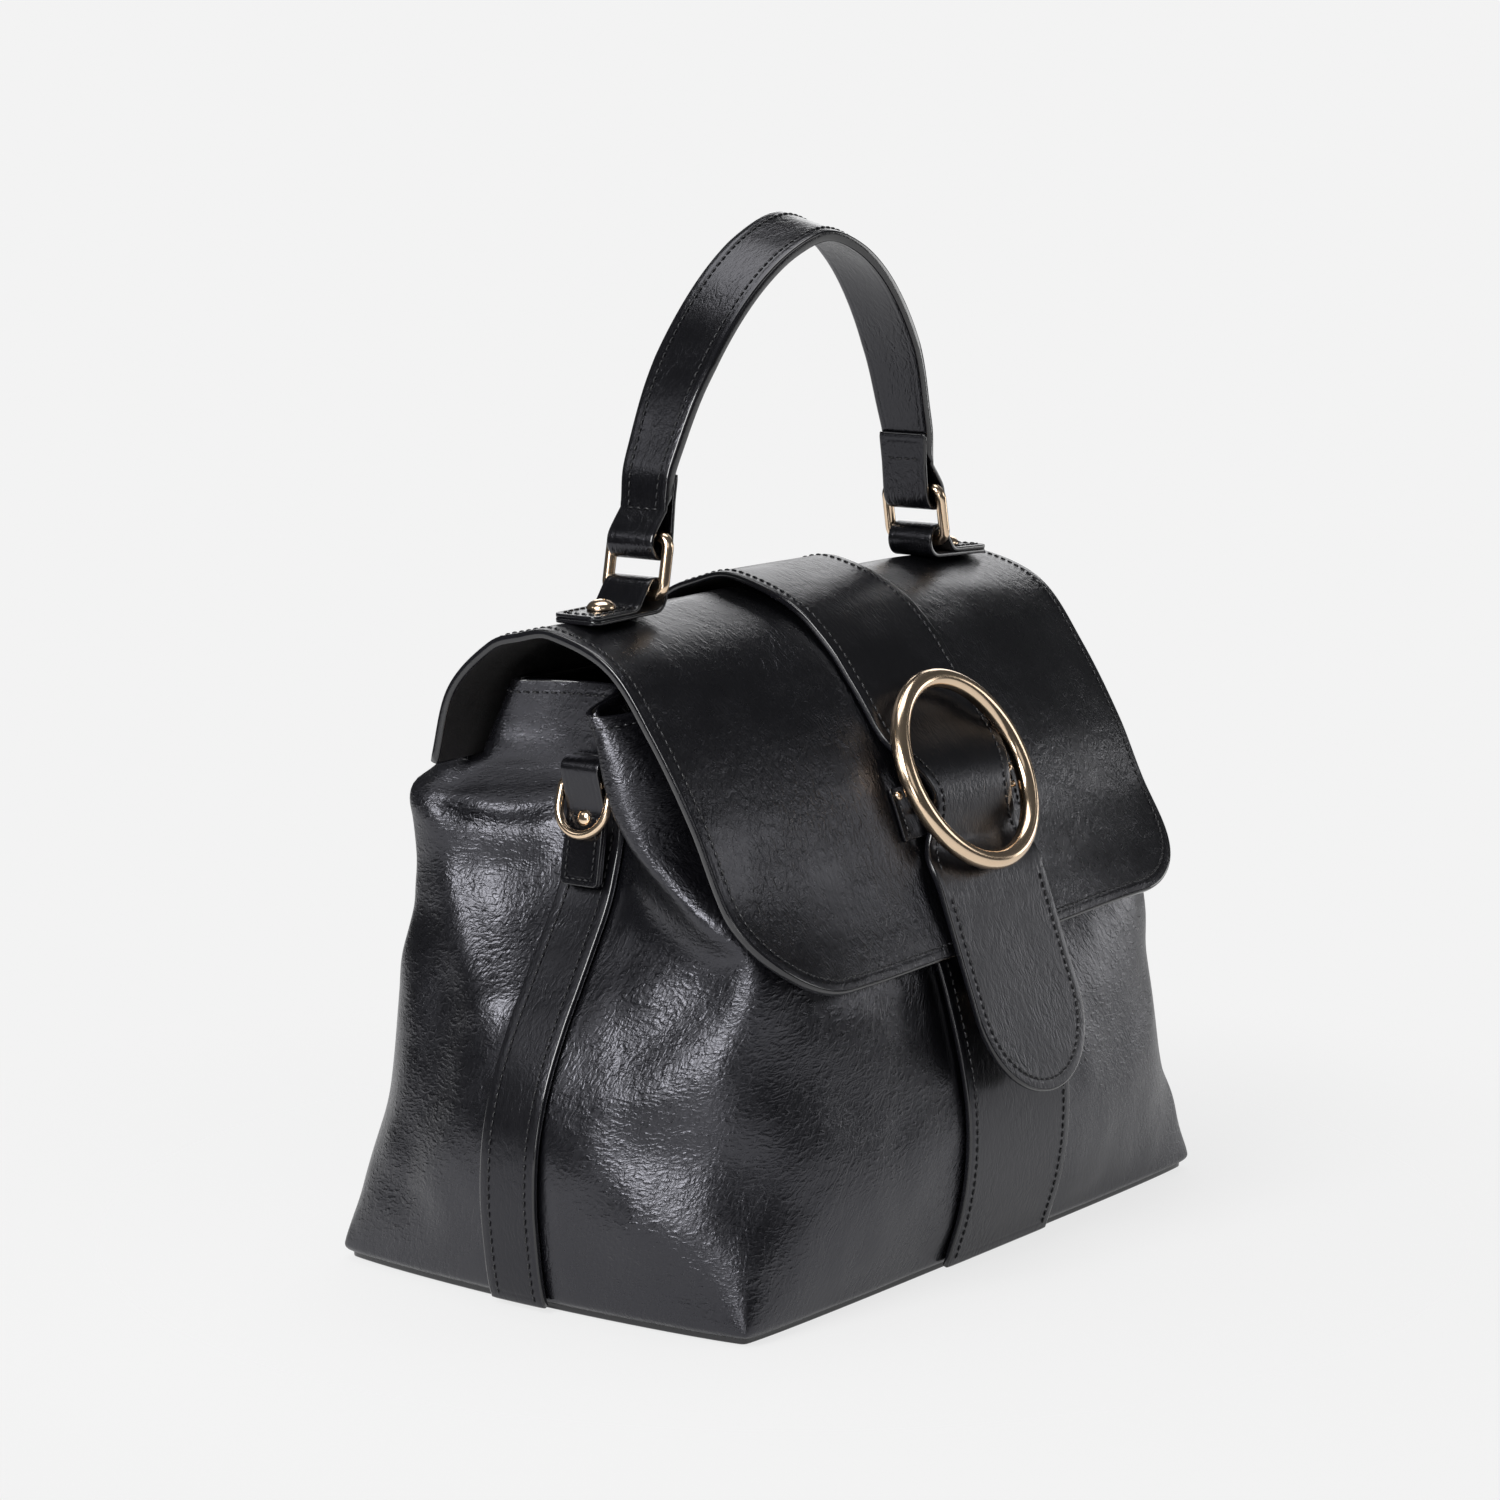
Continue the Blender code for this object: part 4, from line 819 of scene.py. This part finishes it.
for side, name in ((-1, "left"), (1, "right")):
    lift = side_strap_seat + side_strap_leather
    strip = side_strip(side_strap_width - 0.0010, side, side_bottom, side_strap_top, lift)
    strap = CutPiece("side_strap_leather_" + name, strip, side_strap_leather, strap_leather)
    dress(strap.piece, "bag", "side_strap_" + name)
    sew_sides("side_strap_seam_" + name, strap, strap_inset, "bag")


# D-rings
# A short doubled tab, sewn and riveted at the top of each side strap, holds a small D-ring for
# a shoulder strap. Both metals are polished in a pale rose gold.
d_loop = Vector((0.11131, 0.17776))
d_tail = Vector((0.16874, -0.98566))
d_out = Vector((0.98566, 0.16874))
d_fold = 0.0044
d_join = 0.0130
bar_seat_depth = 0.0045
d_radius = 0.0103
d_bend = 0.0020
d_drop = 0.0076
d_wire = 0.0032
tab_ply = 0.0015
tab_width = 0.0160
tab_length = 0.0390
tab_plate = 0.0240
d_rivet_seat = 0.0165
d_lean = radians(7)


def polished(name, colour, rough=0.13):
    """Plated metal, buffed in one direction, with a faint orange-peel in the plating."""
    finish, tree, shader = new_finish(name)
    place = add_node(tree, "TexCoord").outputs["Object"]
    buffed = noise_at(tree, moved_by(tree, "MULTIPLY", place, (1, 1, 0.08)), 2600, 2)
    cloud = noise_at(tree, place, 140, 2)
    tint(tree, shader, cloud, colour, 0.94, 1.04)
    tree.links.new(calc(tree, "MULTIPLY_ADD", buffed, 0.07, rough), shader.inputs["Roughness"])
    shader.inputs["Metallic"].default_value = 1.0
    roughen(tree, shader, calc(tree, "MULTIPLY_ADD", buffed, 0.4, cloud), 0.000012)
    return finish


rose_gold = polished("rose_gold", (0.86, 0.66, 0.47))
handle_black = (0.0016, 0.0016, 0.0022)
handle_finish = coated_leather("handle_gloss", handle_black, 0.21, 0.60, 1.6, 0.00009, inset=0.002)


def fold_line(radius, length, join, step, tail_out=None):
    """A strip folded round a bar, as its outer face in the fold's own plane: along the tail and
    out from it. It runs from the end of the inner ply round the loop to the outer ply's end."""
    tip = Vector((join, step - radius))
    start = -pi / 2
    turn = atan2(tip.y, tip.x) + acos(radius / tip.length) - 2 * pi - start
    angles = np.linspace(start, start + turn, 36)
    line = [(length * s, -radius) for s in np.linspace(1, 0, 24)[:-1]]
    line += [(radius * cos(a), radius * sin(a)) for a in angles]
    touch = Vector(line[-1])
    line += [tuple(touch.lerp(tip, s)) for s in np.linspace(0, 1, 9)[1:]]
    end = length if tail_out is None else tail_out
    line += [(join + (end - join) * s, step - radius) for s in np.linspace(0, 1, 18)[1:]]
    return smooth_line(np.array(line), 2)


def folded_face(line, centre, tail, out, width, corner, cols=12):
    """The grid of a folded strip that lies in the XZ plane, its outer side facing out and the
    corners of its two ends rounded."""
    reach = np.concatenate([[0], np.linalg.norm(np.diff(line, axis=0), axis=1).cumsum()])
    near = corner * (1 - np.cos(np.linspace(0, pi / 2, 8)))
    middle = reach[(reach > corner * 1.2) & (reach < reach[-1] - corner * 1.2)]
    places = np.concatenate([near, middle, reach[-1] - near[::-1]])
    line = np.stack([np.interp(places, reach, line[:, 0]), np.interp(places, reach, line[:, 1])], 1)
    end_off = np.minimum(corner, np.minimum(places, reach[-1] - places))
    half = width / 2 - corner + np.sqrt(np.maximum(0, corner**2 - (corner - end_off) ** 2))
    flat = [centre + tail * a + out * o for a, o in line]
    face = np.array([[(x, v, z) for v in np.linspace(-h, h, cols)] for (x, z), h in zip(flat, half)])
    normal = grid_normals(face)[0, 0]
    away = -(out[0] * normal[0] + out[1] * normal[2])
    return face if away > 0 else face[:, ::-1]


def plate_seam(tab, plate, inset):
    """The stitch line round the flat plate that a folded tab ends in."""
    rows = int((np.linalg.norm(tab.face[-40:, 6] - tab.face[-1, 6], axis=1) < plate).sum())
    down, end, back = (tab.hem_line(inset, k, k + 1) for k in (1, 2, 3))
    line = np.concatenate([down[-rows:], end[3:-3], back[:rows]])
    return np.concatenate([line, line[:1]])


def add_rings(name, rings, finish, closed=False):
    """A surface through rings of points, closed on itself or capped at both ends."""
    count, sides = rings.shape[:2]
    faces = []
    for i in range(count if closed else count - 1):
        near, far = i * sides, (i + 1) % count * sides
        steps = [(s, (s + 1) % sides) for s in range(sides)]
        faces += [(near + s, near + t, far + t, far + s) for s, t in steps]
    if not closed:
        faces += [tuple(reversed(range(sides))), tuple((count - 1) * sides + s for s in range(sides))]
    return add_mesh(name, rings.reshape(-1, 3), faces, [finish])


def tube(name, path, radius, finish, closed=True, sides=20):
    """A round wire along a path."""
    path = np.asarray(path, float)
    ahead = np.roll(path, -1, 0) - np.roll(path, 1, 0)
    if not closed:
        ahead[0], ahead[-1] = path[1] - path[0], path[-1] - path[-2]
    ahead = unit(ahead)
    centre = path.mean(axis=0)
    plane = np.cross(path[len(path) // 3] - centre, path[0] - centre)
    if np.linalg.norm(plane) < 1e-9:
        plane = np.array((0.0, 1.0, 0.0))
    side = unit(np.cross(ahead, plane))
    up = unit(np.cross(side, ahead))
    angles = 2 * pi * np.arange(sides)[None, :, None] / sides
    rings = path[:, None] + radius * (side[:, None] * np.cos(angles) + up[:, None] * np.sin(angles))
    return add_rings(name, rings, finish, closed)


def arc_points(centre, radius, start, end, steps):
    """Points on an arc in a plane, from the start angle to the end angle."""
    angles = np.linspace(start, end, steps + 1)
    return [(centre[0] + radius * cos(a), centre[1] + radius * sin(a)) for a in angles]


def turned(name, profile, place, normal, steps=40):
    """A turned metal part: a profile of radius and height, spun round its own axis."""
    turn = Vector(normal).normalized().to_track_quat("Z", "X").to_matrix()
    angles = [2 * pi * s / steps for s in range(steps)]
    rings = np.array([
        [Vector(place) + turn @ Vector((radius * cos(a), radius * sin(a), height)) for a in angles]
        for radius, height in profile
    ])
    return add_rings(name, rings, rose_gold)


def rivet(place, normal, width, height, body, kind, side):
    """A smooth domed rivet head, one of a kind on each side."""
    r = width / 2
    profile = [(r * 0.96, 0), (r * 0.99, height * 0.06)]
    domed = np.linspace(0.0, pi / 2 - 0.05, 16)
    profile += [(r * cos(a), height * (0.12 + 0.88 * sin(a))) for a in domed]
    head = turned(f"{kind}_head_{side}", profile, place, normal)
    dress(head, body, f"{kind}_{side}")


for side, name in ((-1, "left"), (1, "right")):
    centre, tail, out = (Vector((v.x * side, v.y)) for v in (d_loop, d_tail, d_out))
    line = fold_line(d_fold, tab_length, d_join, 2 * tab_ply)
    face = folded_face(line, centre, tail, out, tab_width - 0.0008, 0.0016)
    tab = CutPiece("d_ring_tab_leather_" + name, face, tab_ply, handle_finish, bulge=0.0004)
    dress(tab.piece, "bag", "d_ring_tab_" + name)
    sew(f"d_ring_tab_seam_{name}", plate_seam(tab, tab_plate, 0.0019), tab, "bag", pitch=0.0027)
    place = centre + out * (2 * tab_ply - d_fold) + tail * d_rivet_seat
    rivet((place.x, 0, place.y), (out.x, 0, out.y), 0.0056, 0.0015, "bag", "d_ring_rivet", name)
    inner, tip = d_fold - tab_ply, d_join - tab_ply
    bar = centre + tail * bar_seat_depth + out * ((tip - bar_seat_depth) * inner / tip - inner)
    lean = side * d_lean
    hang = Vector((tail.x * cos(lean) - tail.y * sin(lean), tail.x * sin(lean) + tail.y * cos(lean)))
    loop = arc_points((d_bend - d_radius, -d_bend), d_bend, pi / 2, pi, 8)
    loop += arc_points((0, -d_drop), d_radius, pi, 2 * pi, 44)
    loop += arc_points((d_radius - d_bend, -d_bend), d_bend, 0, pi / 2, 8)
    loop += [((d_radius - d_bend) * s, 0) for s in (0.75, 0.5, 0.25, 0, -0.25, -0.5, -0.75)]
    path = [(bar.x - hang.x * v, u, bar.y - hang.y * v) for u, v in loop]
    ring = tube("d_ring_wire_" + name, path, d_wire / 2, rose_gold)
    dress(ring, "d_ring_" + name, "d_ring_" + name)


# Flap
# One piece of leather with a lining, cut wide and turned over a soft crown. It is sewn to the
# back wall, hangs over the front, and its thick painted edge is stitched all round.
flap_width = 0.261
flap_corner = 0.037
flap_crown = 0.009
flap_tilt = 0.0019
flap_thickness = 0.0031
flap_rows = (
    (-1.096, 0.5605), (-0.848, 0.6859), (-0.681, 0.8273), (-0.494, 0.9566), (-0.286, 1.0650),
    (0.005, 1.1110), (0.147, 1.1020), (0.295, 1.0820), (0.504, 0.9971), (0.594, 0.8707),
)
crown_rows = (
    (0.00, -0.35), (0.06, 0.15), (0.14, 0.75), (0.25, 1.02), (0.45, 0.90), (0.52, 0.58),
    (0.59, 0.34), (0.68, 0.28), (0.80, 0.25), (0.92, 0.15), (1.00, 0.00),
)


def chord_lengths(points):
    """How far along a line its points lie, measured straight from each to the next."""
    lengths = [0]
    for before, after in zip(points, points[1:]):
        lengths.append(lengths[-1] + (Vector(after) - Vector(before)).length)
    return lengths


flap_knots = [Vector((y * half_depth, z * body_height)) for y, z in flap_rows]
knot_places = chord_lengths(flap_knots)
flap_knots = [(place, *spot) for place, spot in zip(knot_places, flap_knots)]
profile_steps = 16 * (len(flap_knots) - 1)
profile_places = [knot_places[-1] * i / profile_steps for i in range(profile_steps + 1)]
profile = [Vector(spline(flap_knots, place)) for place in profile_places]
profile_lengths = chord_lengths(profile)
flap_length = profile_lengths[-1]


def flap_point(x, along, lift):
    """Outer face of the flap at x, along its length from the front edge, lifted by lift."""
    reach = max(0, min(1, along)) * flap_length
    index = max(0, min(len(profile) - 2, sum(1 for v in profile_lengths[1:-1] if v <= reach)))
    low, high = profile[index], profile[index + 1]
    share = (reach - profile_lengths[index]) / (high - low).length
    spot = low.lerp(high, share)
    before = profile[max(0, index - 1)]
    after = profile[min(len(profile) - 1, index + 2)]
    forward = (high - before).normalized().lerp((after - low).normalized(), share).normalized()
    normal = Vector((-forward.y, forward.x))
    crown = flap_crown * spline(crown_rows, along)[0] * (1 - (2 * x / flap_width) ** 2)
    spot = spot + normal * (crown + lift)
    aside = sin(pi * 1.5 * x / flap_width) * (1 - falloff(x, flap_width / 3))
    return Vector((x, spot.x, spot.y + flap_tilt * aside * (1 - max(0, along) ** 4)))


def flap_half_width(along):
    """Half the flap's width, drawn in round its two front corners."""
    reach = along * flap_length
    if reach >= flap_corner:
        return flap_width / 2
    return flap_width / 2 - flap_corner + sqrt(max(0, flap_corner**2 - (flap_corner - reach) ** 2))


flap_leather = coated_leather("flap_leather", (0.0020, 0.0020, 0.0027), 0.27, 0.65, 1.4, 0.00016)
flap_lining = plain_finish("flap_lining_leather", (0.020, 0.019, 0.019), 0.55, 1200, 0.00012)
corner_share = flap_corner / flap_length
flap_places = [corner_share * (1 - cos(pi / 2 * i / 26)) for i in range(26)]
flap_places += [corner_share + (1 - corner_share) * i / 120 for i in range(121)]
flap_cols = 150
flap_across = [2 * j / (flap_cols - 1) - 1 for j in range(flap_cols)]
flap_face = np.array([
    [flap_point(share * (flap_half_width(along) - edge_room), along, 0) for share in flap_across]
    for along in flap_places
])
flap = CutPiece("flap_leather_shell", flap_face, flap_thickness, flap_leather,
                inner=flap_lining, bulge=0.0010)
dress(flap.piece, "flap", "flap_outer", "flap_lining")
left, front, right = (flap.hem_line(0.0036, first, first + 1) for first in (3, 0, 1))
sew("flap_seam", np.concatenate([left, front[1:-1], right]), flap, "flap")


# Flap hinge
# The flap's back edge is sewn to the back wall through a turned strip of thin leather.
welt_half = 0.1010
welt_leather = 0.0009
welt_line = (
    (0.0458, 0.1772), (0.0468, 0.1756), (0.0484, 0.1752), (0.0496, 0.1762), (0.0500, 0.1780),
    (0.0500, 0.1800),
)
welt_line = smooth_line(dense([(y, z, 0) for y, z in welt_line], 0.0004, closed=False), 6)
welt_across = np.linspace(-welt_half, welt_half, 40)[::-1]
welt_face = np.array([[(x, y, z) for x in welt_across] for y, z, _ in welt_line])
welt = CutPiece("flap_welt", welt_face, welt_leather, strap_leather, inner=strap_leather, bulge=0.0003)
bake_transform(welt.piece)


# Flap strap and tongue
# A wide strap is sewn to the flap at the back and runs forward over it, through the ring and
# over the ring's bar. Its free end is the tongue, which hangs past the flap and snaps shut.
strap_thickness = 0.0024
ring_along = 0.254
bar_drop = 0.0085
strap_start = 0.08947867
waist_width = 0.0460
waist_reach = 0.0260
tongue_length = 0.0780
flap_gap = 0.0003
bar_bump, bar_bump_reach, bar_bump_ahead = 0.0062, 0.0260, 0.006
front_lift, front_lift_reach = 0.0026, 0.0170
top_lift, top_from, top_to = 0.0034, 0.43, 0.88
fold = Vector((0, -0.08854, 0.13546))
hang_down = Vector((0, -0.34648, -0.93806))
hang_out = Vector((0, -0.93806, 0.34648))


def strap_lift(along):
    """How far the strap's inner face stands off the flap: at its front end, over the bar and
    over the flap's top."""
    arched = (along - top_from) / (top_to - top_from)
    arch = sin(pi * max(0, min(1, arched))) ** 2
    past_bar = (along - ring_along) * flap_length + bar_drop
    bump = bar_bump * falloff(past_bar - bar_bump_ahead, bar_bump_reach)
    end = front_lift * falloff((along - strap_start) * flap_length, front_lift_reach)
    return flap_gap + bump + end + top_lift * arch


def strap_row(along, cols):
    """Points across the strap's outer face at a place along the flap."""
    past_bar = (along - ring_along) * flap_length + bar_drop
    waist = (strap_width - waist_width) * falloff(past_bar, waist_reach)
    lift = strap_lift(along) + strap_thickness
    centre = flap_point(0, along, lift)
    row = []
    for u in np.linspace(-0.5, 0.5, cols):
        x = u * (strap_width - 2 * edge_room - waist)
        row.append(Vector((x, centre.y, centre.z)).lerp(flap_point(x, along, lift), 0.5))
    return row


def tongue_row(reach, cols):
    """Points across the tongue's outer face at a distance below its fold."""
    radius = strap_width / 2 - edge_room
    past = max(0, reach - (tongue_length - strap_width / 2))
    half = sqrt(max(0, radius**2 - past**2))
    middle = fold + hang_down * reach + hang_out * (strap_thickness / 2)
    return [middle + Vector((x, 0, 0)) for x in np.linspace(-half, half, cols)]


strap_cols = 36
straight = tongue_length - strap_width / 2
tip_reach = strap_width / 2 - edge_room
tongue_places = [straight + tip_reach * sin(pi / 2 * s) for s in np.linspace(0.982, 0, 26)]
tongue_places += list(np.linspace(straight, 0.0004, 44))[1:]
strap_places = np.linspace(strap_start + 0.002, 1, 190)
strap_rows = [tongue_row(reach, strap_cols) for reach in tongue_places]
strap_rows += [strap_row(along, strap_cols) for along in strap_places]
strap_face = np.array(strap_rows)
bend = slice(60, 84)
strap_face[bend] = smooth_line(strap_face[bend], 3)
strap = CutPiece("flap_strap_leather", strap_face, strap_thickness, strap_leather, bulge=0.0007)
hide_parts("flap_strap", "strap_tongue")
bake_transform(strap.piece)
tongue_rows = len(tongue_places) - 4
for first, name in ((1, "right"), (3, "left")):
    line = strap.hem_line(strap_inset, first, first + 1)
    if name == "left":
        line = line[::-1]
    sew(f"strap_seam_{name}", line[tongue_rows + 8:], strap, "flap")
line = strap.hem_line(strap_inset, 3, 4)
low_seam = np.concatenate([line[-tongue_rows:], strap.hem_line(strap_inset, 1, 2)[:tongue_rows]])
sew("tongue_seam", low_seam, strap, "tongue")


# Snap
# A pressed magnetic snap: the stud is set in the tongue's inner side and the socket in the
# front band.
snap_in = Vector((0, 0.93806, -0.34648))
snap_profile = (
    (0.98, 0), (1, 0.25), (1, 0.7), (0.95, 0.92), (0.88, 1), (0.72, 1), (0.66, 0.80), (0.30, 0.76),
    (0.22, 0.55), (0.05, 0.52),
)
for kind, body, place, normal, width, height in (
    ("stud", "tongue", (0, -0.10024, 0.09501), snap_in, 0.0160, 0.0030),
    ("socket", "bag", (0, -0.09695, 0.09379), -snap_in, 0.0180, 0.0032),
):
    pressed = [(r * width / 2, rise * height) for r, rise in snap_profile]
    part = turned(f"snap_{kind}_metal", pressed, Vector(place) - normal * (height / 2), normal)
    dress(part, body, "snap_" + kind)


# Ring buckle
# A round ring of thick polished wire with a straight bar behind it. A leather keeper, riveted
# at both ends, holds the bar on the flap, and the strap runs over the bar.
ring_middle = Vector((0, -0.07832, 0.17068))
ring_up = Vector((0, 0.44907, 0.8935))
ring_normal = Vector((0, -0.8935, 0.44907))
ring_radius = 0.0336
ring_wire = 0.0068
circle = [
    ring_middle + Vector((1, 0, 0)) * (ring_radius * cos(a)) + ring_up * (ring_radius * sin(a))
    for a in np.linspace(0, 2 * pi, 181)[:-1]
]
ring = tube("ring_buckle_wire", circle, ring_wire / 2, rose_gold, sides=40)
dress(ring, "flap", "ring_buckle")
bar_seat = Vector((0, -0.0777, 0.16056))
rise = ring_normal * (ring_middle - bar_seat).dot(ring_normal)
ring_opening = 0.0604
bar_wire = 0.0024
end_x = sqrt((ring_opening / 2 - 0.00048) ** 2 - bar_drop**2)
knee_x = end_x - bar_wire
bar_marks = [(knee_x * s, 0) for s in np.linspace(-0.96, 0.96, 9)]
bar_marks = [
    (-end_x, 0.55), (-knee_x - 0.0008, 0.12), *bar_marks, (knee_x + 0.0008, 0.12), (end_x, 0.55),
]
bar_path = [bar_seat + rise * share + Vector((x, 0, 0)) for x, share in bar_marks]
bar_piece = tube("buckle_bar_wire", bar_path, bar_wire / 2, rose_gold, closed=False)
dress(bar_piece, "flap", "buckle_bar")
keeper_leather = 0.0012
keeper_centre = ring_along - bar_drop / flap_length
keeper_width = 0.0190
keeper_half = keeper_width / 2 / flap_length
keeper_reach = 0.0366
keeper_across = np.linspace(-keeper_reach, keeper_reach, 50)
keeper_face = np.array([
    [flap_point(x, keeper_centre + keeper_half * s, flap_gap + keeper_leather) for x in keeper_across]
    for s in np.linspace(-0.96, 0.96, 16)
])
keeper = CutPiece("buckle_keeper_leather", keeper_face, keeper_leather, strap_leather, bulge=0.0004)
dress(keeper.piece, "flap", "buckle_keeper")
sew_sides("keeper_seam", keeper, 0.0022, "flap", pitch=0.0026)
for side, name, z in ((-1, "left", 0.16549), (1, "right", 0.16621)):
    place = Vector((side * 0.03394, -0.07357, z)) - ring_normal * 0.0002
    rivet(place, ring_normal, 0.0034, 0.0016, "flap", "keeper_rivet", name)


# Handle tabs and rings
# A doubled leather tab, sewn and riveted on each side of the flap's top, folds round the lower
# bar of an oblong ring. The ring stands up and leans in under the handle's pull.
fold_width = 0.0190
fold_radius = 0.0063
fold_length = 0.0320
fold_join = 0.0105
fold_plate = 0.0205
rivet_seat = 0.0180
fold_ply = 0.0016
handle_wire = 0.0040
bars = {-1: ((-0.085, 0.23428), (-0.08118, 0.25391)), 1: ((0.085, 0.23732), (0.08118, 0.25696))}
tab_frames = {
    -1: ((-0.99972, -0.02358), (-0.02358, 0.99972)),
    1: ((0.99931, -0.03702), (0.03702, 0.99931)),
}
for side, name in ((-1, "left"), (1, "right")):
    low, high, tail, out = map(Vector, bars[side] + tab_frames[side])
    line = fold_line(fold_radius, fold_length, fold_join, 2 * fold_ply)
    face = folded_face(line, low, tail, out, fold_width - 0.0010, 0.0026, cols=16)
    tab = CutPiece("handle_tab_leather_" + name, face, fold_ply, handle_finish, bulge=0.0005)
    dress(tab.piece, "flap", "handle_tab_" + name)
    sew(f"handle_tab_seam_{name}", plate_seam(tab, fold_plate, 0.0022), tab, "flap")
    place = low + out * (2 * fold_ply - fold_radius) + tail * rivet_seat
    rivet((place.x, 0, place.y), (out.x, 0, out.y), 0.0100, 0.0036, "flap", "handle_tab_rivet", name)
    half, corner = 0.0119, 0.0040
    far = 0.0200 - corner
    up = (high - low).normalized()
    wide = half - corner
    bends = (wide, far), (-wide, far), (-wide, corner), (wide, corner)
    path = []
    for quarter, bend in enumerate(bends):
        start = quarter * pi / 2
        bent = arc_points(bend, corner, start, start + pi / 2, 10)
        path += [(low.x + up.x * v, u, low.y + up.y * v) for u, v in bent]
    ring = tube("handle_ring_wire_" + name, dense(path, 0.0012), handle_wire / 2, rose_gold)
    dress(ring, "ring_" + name, "handle_ring_" + name)


# Handle
# A stiff rolled-up arch of thick leather, stitched along both painted edges. Each end is
# skived thin, folded round the upper bar of its ring and sewn back on its inner side.
handle_thickness = 0.0040
end_radius = 0.0062
end_ply = 0.0016
end_join = 0.0110
end_patch = 0.0224
end_step = end_ply + 0.0003 + handle_thickness
arch_reach = 0.085
arch_rise = 0.1015
foot_width = 0.0190
crown_wider = 0.0050
crown_roll = radians(15)
crown_lean = 0.0085
handle_rows = (
    (0.900, 0.273), (0.784, 0.493), (0.628, 0.682), (0.440, 0.839), (0.231, 0.948), (0.000, 1.000),
)
feet = {}
for side in (-1, 1):
    rise_up = Vector((-side * sin(radians(6)), cos(radians(6))))
    out = Vector((side * rise_up.y, -side * rise_up.x))
    feet[side] = (Vector(bars[side][1]) + out * 0.0006 - rise_up * 0.0020, rise_up, out)


def arch_line():
    """The outer face of the handle from the left foot over the crown to the right foot."""
    outer = end_step - end_radius
    reach = end_patch - end_join
    tops = (bars[-1][1][1], bars[1][1][1])
    line = []
    for side in (-1, 1):
        centre, rise_up, out = feet[side]
        foot = centre + out * outer + rise_up * (end_join + 0.0003)
        half = [foot, foot + rise_up * (reach / 2), foot + rise_up * reach]
        for x, z in handle_rows:
            top = tops[0] + (tops[1] - tops[0]) * (1 + side * x) / 2
            half.append(Vector((side * x * arch_reach, top + z * arch_rise)))
        line += half if side < 0 else half[-2::-1]
    return line


arch = arch_line()
arch_knots = [(place, *spot) for place, spot in zip(chord_lengths(arch), arch)]
arch_low, arch_high = arch_knots[-1][2], arch_knots[len(arch_knots) // 2][2]
handle_cols = 18


def handle_row(x, z):
    """Points across the handle: it widens, leans back and rolls towards its crown."""
    share = max(0, z - arch_low) / (arch_high - arch_low)
    leaning = max(0, share - 0.08) / 0.92
    width = foot_width + crown_wider * min(1, 2 * share) - 2 * edge_room
    roll = crown_roll * share**2
    lean = crown_lean * leaning**1.3
    across = np.linspace(width / 2, -width / 2, handle_cols)
    return [(x, v * cos(roll) - lean, z + v * sin(roll)) for v in across]


rows, depths = [], []
for side in (-1, 1):
    centre, rise_up, out = feet[side]
    loop = fold_line(end_radius, end_patch, end_join, end_step, end_join)[:-1]
    flat = [(centre + rise_up * a + out * o) for a, o in loop]
    rows += [handle_row(*spot) for spot in (flat if side < 0 else reversed(flat))]
    depths += [end_ply] * len(flat)
    if side < 0:
        for place in np.linspace(0, arch_knots[-1][0], 230)[1:-1]:
            rows.append(handle_row(*spline(arch_knots, place)))
            near_end = min(place, arch_knots[-1][0] - place)
            depths.append(end_ply + (handle_thickness - end_ply) * min(1, near_end / 0.004))
handle_face = np.array(rows)
for low, high in ((50, 104), (len(rows) - 104, len(rows) - 50)):
    handle_face[low:high] = smooth_line(handle_face[low:high], 14)
handle = CutPiece("handle_leather", handle_face, depths, handle_finish,
                  inner=handle_finish, bulge=0.0008)
dress(handle.piece, "handle", "handle_strap", "handle_end_left", "handle_end_right")
loop_rows = 78
for first, name in ((1, "front"), (3, "back")):
    line = handle.hem_line(0.0031, first, first + 1)
    sew(f"handle_seam_{name}", line[loop_rows:-loop_rows], handle, "handle")
for row, name in ((9, "left_inner"), (70, "left_outer"), (-71, "right_outer"), (-10, "right_inner")):
    sew("handle_cross_seam_" + name, handle.face[row, 2:-2], handle, "handle")
